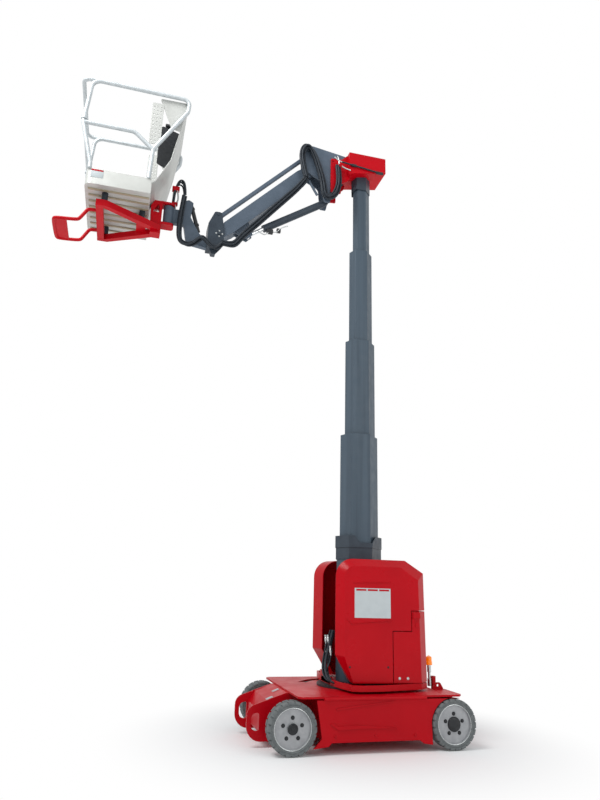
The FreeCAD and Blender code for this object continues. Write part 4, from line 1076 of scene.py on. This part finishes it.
# %% [markdown]
# ## Tyres with their shoulder blocks
# A solid tyre of this kind has a smooth band round the middle of its tread, moulded blocks on both
# shoulders with slots between them, and a groove round its side. The band and the sides are one
# spun profile. The blocks are one short spun piece, set round the wheel by Geometry Nodes: the
# count, the first angle and the wheel's centre are the tree's inputs.

# %% Wheel sizes
TYRE_RADIUS = AXLE_Z
WHEEL_Y, FRONT_X = 0.5365, 0.675
BLOCK_COUNT, BLOCK_SHARE, FIRST_BLOCK = 22, 0.80, 0.1
WHEELS = [
    # end and side, centre along x, side of the machine
    ("front_left", FRONT_X, 1),
    ("front_right", FRONT_X, -1),
    ("rear_left", REAR_X, 1),
    ("rear_right", REAR_X, -1),
]
SIDE_PROFILE = [(0.150, 0.0575), (0.156, 0.0618), (0.1625, 0.0618), (0.164, 0.0598), (0.167, 0.0598),
                (0.1685, 0.0618), (0.1755, 0.0608), (0.1825, 0.054), (0.1835, 0.022), (0.1880, 0.018)]
SHOULDER = [(0.1700, 0.0600), (0.1745, 0.0635), (0.1815, 0.0635), (0.1872, 0.0600), (0.1901, 0.0540),
            (0.1905, 0.0190), (0.1800, 0.0190), (0.1760, 0.0540)]


# %% Ring tree
def ring_tree(name, material):
    """Copies of one object turned round an axis along Y and moved to a centre."""
    tree, given = new_tree(name, [("Block", "Object", None), ("Count", "Int", 12),
                                  ("First Angle", "Float", 0.0), ("Centre", "Vector", (0, 0, 0))])
    spots = tree_node(tree, "GeometryNodeMeshLine", [("Count", given["Count"])], [("Offset", (0, 0, 0))])
    block = tree_node(tree, "GeometryNodeObjectInfo", [("Object", given["Block"])])
    index = tree_node(tree, "GeometryNodeInputIndex")
    share = tree_node(tree, "ShaderNodeMath", [(0, index.outputs[0]), (1, given["Count"])],
                      operation="DIVIDE")
    turn_by = tree_node(tree, "ShaderNodeMath", [(0, share.outputs[0]), (2, given["First Angle"])],
                        [(1, math.tau)], operation="MULTIPLY_ADD")
    euler = tree_node(tree, "ShaderNodeCombineXYZ", [("Y", turn_by.outputs[0])])
    rotation = tree_node(tree, "FunctionNodeEulerToRotation", [("Euler", euler.outputs[0])])
    laid = tree_node(tree, "GeometryNodeInstanceOnPoints", [
        ("Points", spots.outputs[0]), ("Instance", block.outputs["Geometry"]),
        ("Rotation", rotation.outputs[0])])
    moved = tree_node(tree, "GeometryNodeTransform", [
        ("Geometry", laid.outputs[0]), ("Translation", given["Centre"])])
    return end_tree(tree, moved.outputs[0], material)


# %% One pair of shoulder blocks
block_form = bmesh.new()
half_step = math.tau / BLOCK_COUNT / 2
block_sweep = 2 * half_step * BLOCK_SHARE
spun(block_form, SHOULDER, (0, 0, 0), 1, 3, -block_sweep / 2, block_sweep)
spun(block_form, SHOULDER, (0, 0, 0), -1, 3, half_step - block_sweep / 2, block_sweep)
shoulder_block = new_object("shoulder_block", block_form, tyre_rubber)
shoulder_tree = ring_tree("shoulder_blocks", tyre_rubber)
print("blocks on each shoulder:", BLOCK_COUNT, "each %.1f degrees long" % math.degrees(block_sweep))

# %% Tyres
for name, x, side in WHEELS:
    centre = (x, side * WHEEL_Y, TYRE_RADIUS)
    carcass = spun(bmesh.new(), SIDE_PROFILE + [(r, -y) for r, y in reversed(SIDE_PROFILE)], centre, 1, 96)
    blocks = grown("blocks_" + name, shoulder_tree, {
        "Block": shoulder_block, "Count": BLOCK_COUNT, "First Angle": FIRST_BLOCK, "Centre": centre})
    tyre = joined("treaded_tyre_" + name, [new_object("carcass_" + name, carcass, tyre_rubber), blocks])
    carried(tyre, "wheel_" + name, "tyre_" + name)
bpy.data.objects.remove(shoulder_block)
print("tyre triangles:", sum(len(p.vertices) - 2 for p in tyre.data.polygons))

# %% [markdown]
# ## Hydraulic hoses
# Oil and power reach the jib and the basket through a handful of rubber hoses that are clipped
# down at both ends and left with a loop at every joint. Each is one smooth curve through the places
# where it is led. A bundle is the same curve drawn several times, each hose set over by its own
# small offset, so the bundle looks laid by hand. The loop over the head runs from the mast head to
# the jib and rides on no body, and every other run rides on the one body that it is clipped to.


# %% Hose bundles
def bundle(name, points, radius, offsets, swell=0.5):
    """Several hoses along one lead; each spreads from the others between its two clipped ends."""
    runs = []
    last = len(points) - 1
    for number, offset in enumerate(offsets):
        lead = []
        for i, point in enumerate(points):
            share = 1 + swell * math.sin(math.pi * i / last) * (0.6 + 0.4 * math.sin(2.1 * number + i))
            lead.append(Vector(point) + Vector(offset) * share)
        runs.append(hose_run("%s_%d" % (name, number), lead, radius, hose_rubber))
    return joined(name, runs)


# %% Loop over the head, from the mast head to the jib
HEAD_LOOP = [(0.563, 0.12, 5.357), (0.608, 0.12, 5.528), (0.632, 0.12, 5.660), (0.558, 0.12, 5.779),
             (0.490, 0.12, 5.693), (0.421, 0.12, 5.507), (0.364, 0.12, 5.302), (0.361, 0.12, 5.151),
             (0.268, 0.12, 5.170), (0.204, 0.12, 5.300), (0.197, 0.12, 5.447), (0.215, 0.12, 5.572)]
head_loop = bundle("head_hose_loop", HEAD_LOOP, 0.0105, [
    (-0.018, -0.020, 0.004), (0.016, -0.016, 0.010), (0.0, 0.004, -0.014), (-0.020, 0.008, -0.006),
    (0.020, 0.010, 0.012), (0.004, 0.024, 0.0), (-0.006, -0.006, 0.014)], 0.35)
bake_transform(head_loop)
print("head loop faces:", len(head_loop.data.polygons))

# %% Hoses under the jib beam
BEAM_RUN = [(1.40, 0.114, 4.43), (1.326, 0.114, 4.42), (1.274, 0.112, 4.436), (1.236, 0.108, 4.503),
            (1.184, 0.10, 4.575), (1.113, 0.09, 4.663), (1.031, 0.08, 4.763), (0.85, 0.08, 4.99),
            (0.662, 0.08, 5.211), (0.60, 0.09, 5.30), (0.563, 0.11, 5.357)]
carried(bundle("beam_hose_run", BEAM_RUN, 0.0105, [
    (-0.016, 0, -0.014), (0.0, 0.012, 0.0), (0.016, 0, 0.014), (0.0, -0.012, -0.006),
    (0.010, 0.016, 0.020)], 0.2), "jib")
print("places along the beam:", len(BEAM_RUN))

# %% Loop at the knuckle
KNUCKLE_LOOP = [(1.40, 0.114, 4.43), (1.442, 0.114, 4.361), (1.50, 0.112, 4.36), (1.595, 0.10, 4.50),
                (1.654, 0.07, 4.409), (1.742, 0.065, 4.365), (1.813, 0.06, 4.417), (1.824, 0.06, 4.567),
                (1.813, 0.06, 4.733), (1.794, 0.06, 4.922)]
carried(bundle("knuckle_hose_loop", KNUCKLE_LOOP, 0.0095, [
    (-0.016, 0, -0.008), (0.0, 0.014, 0.012), (0.016, 0, 0.0), (0.0, -0.012, 0.004),
    (0.008, 0.022, -0.008)], 0.3), "knuckle")
print("places round the knuckle:", len(KNUCKLE_LOOP))

# %% Arch over the rotator
ROTATOR_ARCH = [(1.794, 0.06, 4.92), (1.800, 0.035, 5.03), (1.822, 0.0, 5.10), (1.862, 0.0, 5.095),
                (1.890, 0.0, 5.02), (1.898, 0.0, 4.93), (1.900, 0.0, 4.85)]
carried(bundle("rotator_hose_arch", ROTATOR_ARCH, 0.008, [
    (-0.010, 0, 0.012), (0.0, 0.010, 0.0), (0.004, -0.008, -0.014), (-0.006, 0.012, 0.020)], 0.3),
    "knuckle")
print("places over the rotator:", len(ROTATOR_ARCH))

# %% Hoses out of the turret
TURRET_RUN = [(0.16, -0.06, 0.86), (0.19, -0.075, 0.74), (0.215, -0.082, 0.64), (0.235, -0.05, 0.56),
              (0.25, 0.03, 0.50), (0.24, 0.105, 0.462), (0.20, 0.14, 0.45), (0.14, 0.13, 0.455)]
carried(bundle("turret_hoses", TURRET_RUN, 0.008, [
    (0.0, -0.03, 0.0), (0.010, -0.008, 0.0), (0.0, 0.016, 0.0), (-0.012, 0.036, 0.0),
    (0.006, 0.055, 0.0)], 0.6), "turret")
print("hoses led")

# %% [markdown]
# ## Bolts, screws and rivets
# Fasteners repeat all over the machine in a few sizes. One hex head on its washer is modelled, and a
# tree sets a copy at every point of a list. Each point carries its own direction and size as
# attributes, so one tree serves every face, whichever way it looks. Each body gets its own mesh,
# because the screws of a door have to swing with it.

# %% The head and its tree
HEAD_SMOOTH = 20
head_form = bmesh.new()
lathe(head_form, [(0, -0.02), (1.45, -0.02), (1.45, 0.16), (1.38, 0.22), (0, 0.22)], (0, 0, 0), (0, 0, 1), 16)
lathe(head_form, [(0, 0.1), (1.0, 0.1), (1.0, 0.74), (0.86, 0.86), (0, 0.86)], (0, 0, 0), (0, 0, 1), 6)
hex_head = new_object("hex_head", head_form, bright_steel, HEAD_SMOOTH)


def head_tree(name, material):
    """A copy of the head at every point, along its facing and in its size."""
    tree, given = new_tree(name, [("Points", "Geometry", None), ("Head", "Object", None)])
    head = tree_node(tree, "GeometryNodeObjectInfo", [("Object", given["Head"])])
    facing = tree_node(tree, "GeometryNodeInputNamedAttribute", (), [("Name", "facing")],
                       data_type="FLOAT_VECTOR")
    size = tree_node(tree, "GeometryNodeInputNamedAttribute", (), [("Name", "size")], data_type="FLOAT")
    turned = tree_node(tree, "FunctionNodeAlignRotationToVector", [("Vector", facing.outputs["Attribute"])],
                       axis="Z")
    laid = tree_node(tree, "GeometryNodeInstanceOnPoints", [
        ("Points", given["Points"]), ("Instance", head.outputs["Geometry"]),
        ("Rotation", turned.outputs[0]), ("Scale", size.outputs["Attribute"])])
    return end_tree(tree, laid.outputs[0], material)


bright_heads = head_tree("bright_heads", bright_steel)
dark_heads = head_tree("dark_heads", black_steel)
red_heads = head_tree("red_heads", red_paint)
print("head trees:", bright_heads.name, dark_heads.name, red_heads.name)


def heads(name, body, tree, spots):
    """Grow heads at spots of (place, facing, radius) and let them ride on a body."""
    base = bpy.data.meshes.new(name + "_points")
    base.from_pydata([spot[0] for spot in spots], [], [])
    base.attributes.new("facing", "FLOAT_VECTOR", "POINT")
    base.attributes.new("size", "FLOAT", "POINT")
    base.attributes["facing"].data.foreach_set("vector", [value for spot in spots for value in spot[1]])
    base.attributes["size"].data.foreach_set("value", [spot[2] for spot in spots])
    return carried(grown(name, tree, {"Head": hex_head}, base, HEAD_SMOOTH), body)


# %% Wheel bolts, bead rings and hub caps
BOLT_CIRCLE, BOLT_HEAD = 0.078, 0.0106
DISC_FACE, BOSS_HEIGHT, CAP_SINK = 0.574, 0.008, 0.0004
FRONT_CAP = [(0, 0), (0.0405, 0), (0.0405, 0.009), (0.037, 0.013), (0.031, 0.013), (0.029, 0.010),
             (0.013, 0.010), (0.012, 0.0135), (0, 0.0135)]
REAR_CAP = [(0, 0), (0.056, 0), (0.056, 0.007), (0.050, 0.013), (0.037, 0.018), (0.020, 0.0212), (0, 0.022)]
for name, x, side in WHEELS:
    body = "wheel_" + name
    spots = []
    for i in range(5):
        across, up_by = polar(math.radians(90 + 72 * i), BOLT_CIRCLE, x, TYRE_RADIUS)
        spots.append(((across, side * DISC_FACE, up_by), (0, side, 0), BOLT_HEAD))
    heads("wheel_bolts_" + name, body, dark_heads, spots)
    bead = spun(bmesh.new(), circle(0.1462, 0.0535, 0.0036, 8), (x, side * WHEEL_Y, TYRE_RADIUS), side, 72)
    settle("bead_ring_" + name, bead, bright_steel, body, smooth=30)
    profile, seat, smooth = (FRONT_CAP, BOSS_HEIGHT, 30) if name.startswith("front") else (REAR_CAP, 0, 50)
    foot = (x, side * (DISC_FACE + seat - CAP_SINK), TYRE_RADIUS)
    cap = lathe(bmesh.new(), profile, foot, (0, side, 0), 40)
    settle("hub_cap_" + name, cap, black_steel, body, smooth=smooth)
print("wheels finished:", [name for name, x, side in WHEELS])

# %% Fasteners of the chassis
chassis_spots = []
for tag, side in SIDES:
    for x, z in ((0.338, 0.129), (0.005, 0.127), (-0.329, 0.124)):
        chassis_spots.append(((x, side * DECK_HALF, z), (0, side, 0), 0.0085))
    for x, z in ((0.50, 0.30), (0.60, 0.24), (0.70, 0.30)):
        chassis_spots.append(((x, side * 0.268, z), (0, side, 0), 0.007))
heads("chassis_bolts", "chassis", red_heads, chassis_spots)
ring_spots = [((*polar(math.tau * (i + 0.5) / 24, 0.268), 0.446), (0, 0, 1), 0.008) for i in range(24)]
clear_of_mast = [spot for spot in ring_spots if abs(spot[0][1]) > 0.18 and abs(spot[0][0]) < 0.19]
heads("turret_base_bolts", "turret", dark_heads, clear_of_mast)
print("chassis and turret bolts:", len(chassis_spots), len(clear_of_mast))

# %% [markdown]
# ## The side covers' small marks
# On each cover sits a blank white plate with three short red bars along its top edge, and faint
# pressed ridges run above and below it. The fixed panel behind carries a latch block. The cover's
# side face leans, so one function gives its Y at any X, and each thin piece is laid on the face.

# %% Pieces laid on the covers
FACE_Y, FACE_SLOPE = COVER_OUTLINES[-1][-2:]
PLATE_SINK, RIDGE_SINK, RIDGE_HEIGHT, RIDGE_HALF = 0.0012, 0.002, 0.0045, 0.004
RIDGE_CROWN = 0.45  # share of the ridge's width that is left at its top


def cover_y(x, lift=0.0):
    """The outer face of the near cover at x."""
    return FACE_Y + (COVER_FRONT - x) * FACE_SLOPE + lift


def laid_plate(form, x0, x1, z0, z1, thickness, side):
    """A thin plate between x0 and x1 that follows the cover's face."""
    crate(form, [(x, side * cover_y(x, depth), z) for depth in (-PLATE_SINK, thickness)
                 for x, z in rect(x0, z0, x1, z1)])


def laid_ridge(form, start, end, side):
    """A narrow raised ridge between two points of the cover's face."""
    start, end = Vector(start), Vector(end)
    lean = (end - start).normalized()
    off = Vector((-lean.y, lean.x)) * RIDGE_HALF
    corners = []
    for depth, half in ((-RIDGE_SINK, 1.0), (RIDGE_HEIGHT, RIDGE_CROWN)):
        spots = [spot + off * shift * half for spot, shift in ((start, -1), (end, -1), (end, 1), (start, 1))]
        corners += [(spot.x, side * cover_y(spot.x, depth), spot.y) for spot in spots]
    crate(form, corners)


for tag, side in SIDES:
    body = "cover_door_" + tag
    plate, bars, ridges, latch = bmesh.new(), bmesh.new(), bmesh.new(), bmesh.new()
    laid_plate(plate, -0.207, 0.110, 0.985, 1.226, 0.0015, side)
    settle("cover_plate_" + tag, plate, plate_white, body, smooth=0)
    for middle in (-0.150, -0.049, 0.052):
        laid_plate(bars, middle - 0.044, middle + 0.044, 1.204, 1.218, 0.0024, side)
    settle("cover_bars_" + tag, bars, red_paint, body, smooth=0)
    laid_ridge(ridges, (0.178, 0.974), (0.140, 0.938), side)
    laid_ridge(ridges, (0.140, 0.938), (-0.205, 0.966), side)
    laid_ridge(ridges, (0.120, 1.268), (-0.205, 1.278), side)
    settle("cover_ridges_" + tag, ridges, red_gloss, body, smooth=0)
    laid_plate(latch, -0.466, -0.405, 0.990, 1.036, 0.010, side)
    laid_plate(latch, -0.462, -0.425, 0.915, 0.960, 0.004, side)
    settle("panel_latch_" + tag, latch, red_gloss, "turret", smooth=0)
    heads("cover_screws_" + tag, body, dark_heads, [
        ((x, side * cover_y(x), z), (0, side, 0), 0.006) for x, z in ((0.150, 0.60), (-0.180, 0.60))])
    heads("panel_screws_" + tag, "turret", bright_heads, [
        ((x, side * cover_y(x), 0.515), (0, side, 0), 0.008) for x in (-0.278, -0.350)])
print("covers marked")

# %% [markdown]
# ## Small pieces of the head, the ram and the basket
# These are the pieces that make the lift look used: hose elbows at the head, oil pipes along the
# ram, the valve block of the rotator, and the basket's console, vent and inner side panels. Each is
# laid where the photograph shows it, on the body that carries it.


# %% Blocks, pipes and fittings
def small_block(name, body, material, blocks, bevel=0.003):
    """Blocks between pairs of corners, as one piece riding on a body."""
    form = bmesh.new()
    for low, high in blocks:
        boxed(form, low, high, bevel)
    return settle(name, form, material, body)


def pipe_piece(name, body, material, runs, radius):
    """Pipes or hoses along several runs, as one piece riding on a body."""
    pipes = [hose_run("%s_%d" % (name, i), run, radius, material) for i, run in enumerate(runs)]
    return carried(joined(name, pipes), body)


# %% Pieces at the head, the jib and its ram
elbows = [[(0.262, 0.162, 5.650), (0.256, 0.166, 5.632), (0.215, 0.166, 5.610), (0.185, 0.166, 5.604)],
          [(0.180, 0.162, 5.555), (0.171, 0.166, 5.537), (0.120, 0.166, 5.528), (0.085, 0.160, 5.527)],
          [(0.236, 0.162, 5.668), (0.225, 0.166, 5.650), (0.212, 0.166, 5.600), (0.215, 0.162, 5.575)]]
pipe_piece("head_elbows", "mast_4", bright_steel, elbows, 0.0075)
pipe_piece("head_side_hose", "mast_4", hose_rubber,
           [[(0.185, 0.168, 5.604), (0.130, 0.170, 5.596), (0.052, 0.170, 5.589), (-0.060, 0.169, 5.580),
             (-0.185, 0.168, 5.566), (-0.235, 0.166, 5.562)]], 0.0085)
small_block("head_side_block", "mast_4", black_steel, [
    ((-0.290, 0.156, 5.545), (-0.208, 0.172, 5.575)), ((0.020, 0.156, 5.576), (0.075, 0.178, 5.602))])
pipe_piece("ram_pipes", "cylinder", bright_steel,
           [[(1.037, 0.050, 4.672), (0.990, 0.052, 4.640), (0.952, 0.050, 4.640), (0.925, 0.048, 4.680),
             (0.913, 0.046, 4.708)],
            [(0.913, 0.040, 4.708), (0.870, 0.046, 4.680), (0.828, 0.050, 4.700), (0.800, 0.050, 4.760),
             (0.725, 0.044, 4.790)]], 0.0055)
small_block("ram_valve", "cylinder", black_steel, [
    ((0.880, 0.020, 4.672), (0.945, 0.056, 4.716)), ((0.800, 0.022, 4.700), (0.842, 0.054, 4.742))])
pipe_piece("bracket_strut", "jib", jib_grey, [
    [(0.525, 0.092, 5.345), (0.500, 0.092, 5.299), (0.470, 0.092, 5.250), (0.433, 0.092, 5.190)]], 0.013)
PIN_CIRCLE = circle(KNUCKLE_X - 0.002, KNUCKLE_Z, 0.03, 4)
heads("jib_pin_bolts", "knuckle", bright_heads, [
    ((x, side * 0.082, z), (0, side, 0), 0.006) for side in (-1, 1) for x, z in PIN_CIRCLE])
print("pieces of the head and the ram laid")

# %% Rotator's valve block and its fittings
small_block("rotator_valve", "knuckle", red_paint, [
    ((1.846, -0.022, 4.990), (1.918, 0.022, 5.036)), ((1.852, -0.018, 4.828), (1.908, 0.018, 4.858))])
pipe_piece("rotator_fittings", "knuckle", bright_steel, [
    [(1.866, 0.012, 4.992), (1.858, 0.012, 4.950), (1.842, 0.012, 4.900), (1.864, 0.012, 4.856)],
    [(1.900, -0.010, 4.992), (1.902, -0.010, 4.950), (1.902, -0.010, 4.900), (1.892, -0.010, 4.856)],
    [(1.872, 0.010, 4.786), (1.872, 0.012, 4.810), (1.874, 0.012, 4.820), (1.880, 0.010, 4.832)]], 0.0085)
print("rotator's valve and fittings laid")

# %% Turret's silver fittings
TURRET_FITTINGS = [((0.176, -0.167, 0.734), 0.014), ((0.182, -0.078, 0.741), 0.016),
                   ((0.190, -0.107, 0.650), 0.012), ((0.196, 0.034, 0.657), 0.012)]
fittings = bmesh.new()
for at, radius in TURRET_FITTINGS:
    lathe(fittings, [(0, 0), (radius * 0.7, 0), (radius * 0.7, 0.020), (radius, 0.022), (radius, 0.052),
                     (radius * 0.8, 0.056), (radius * 0.8, 0.078), (0, 0.078)], at, (0.1, 0, 1), 16)
settle("turret_fittings", fittings, bright_steel, "turret")
leads = [[(at[0], at[1], at[2] + 0.002), (at[0] + 0.014, at[1] + 0.010, at[2] - 0.060),
          (0.232, (at[1] + 0.10) * 0.5, 0.580), (0.238, 0.010 + at[1] * 0.4, 0.520),
          (0.214, 0.060 + at[1] * 0.3, 0.474)] for at, radius in TURRET_FITTINGS]
pipe_piece("turret_thin_hoses", "turret", hose_rubber, leads, 0.0065)
print("fittings on the turret:", len(TURRET_FITTINGS))

# %% Console, vent and panels of the basket
small_block("console_column", "basket", box_plastic, [
    ((1.985, -0.035, 5.528), (2.035, 0.035, 5.700)), ((1.972, -0.060, 5.690), (2.046, 0.060, 5.716))], 0.006)
vent = bmesh.new()
for i in range(9):
    z = 5.040 + 0.024 * i
    face = 1.9745 - (z - 5.05) * 0.184
    boxed(vent, (face - 0.003, 0.060, z), (face + 0.008, 0.200, z + 0.012), 0.002)
settle("shell_vent", vent, black_steel, "basket")
sides = bmesh.new()
holes = [circle(2.100 + 0.033 * (i % 3), 5.225 + 0.042 * (i // 3), 0.008, 12) for i in range(30)]
for low, high in both(0.3965, 0.4035):
    slab(sides, "side", rect(2.080, 5.190, 2.186, 5.650, 0.02), low, high, holes)
settle("pierced_side_panels", sides, sheet_aluminium, "basket")
small_block("toe_board_plate", "basket", plate_white, [
    ((2.547, 0.4292, 4.700), (2.656, 0.4318, 4.786))], 0.0005)
small_block("toe_board_bar", "basket", red_paint, [
    ((2.549, 0.4294, 4.766), (2.654, 0.4326, 4.782))], 0.0005)
print("holes in each side panel:", len(holes))

# %% Light bars on the nose and screws of the collar
NOSE_LEAN = 0.354
bars = bmesh.new()
for x, y, z in ((0.690, 0.028, 0.3855), (0.780, 0.200, 0.3535)):
    for i in range(4):
        crate(bars, [(x + s * 0.028 * math.cos(NOSE_LEAN), y + 0.013 * i + t * 0.004,
                      z - s * 0.028 * math.sin(NOSE_LEAN) + h)
                     for h in (-0.002, 0.0012) for s, t in ((-1, -1), (1, -1), (1, 1), (-1, 1))])
settle("nose_bars", bars, plate_white, "chassis")
heads("collar_screws", "turret", dark_heads, [
    ((x, side * y, 1.655), (0.55, side * 0.835, 0), 0.007)
    for side in (-1, 1) for x, y in ((0.060, 0.163), (0.110, 0.070))])
print("small pieces laid")

# %% Put the pattern pieces away
bpy.data.objects.remove(hex_head)

# %% [markdown]
# ## The dressed machine's size
# The last line takes the bounds of what renders of the dressed machine; the hidden solids and the
# floor are left out.

# %% Sizes and finish
low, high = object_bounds()
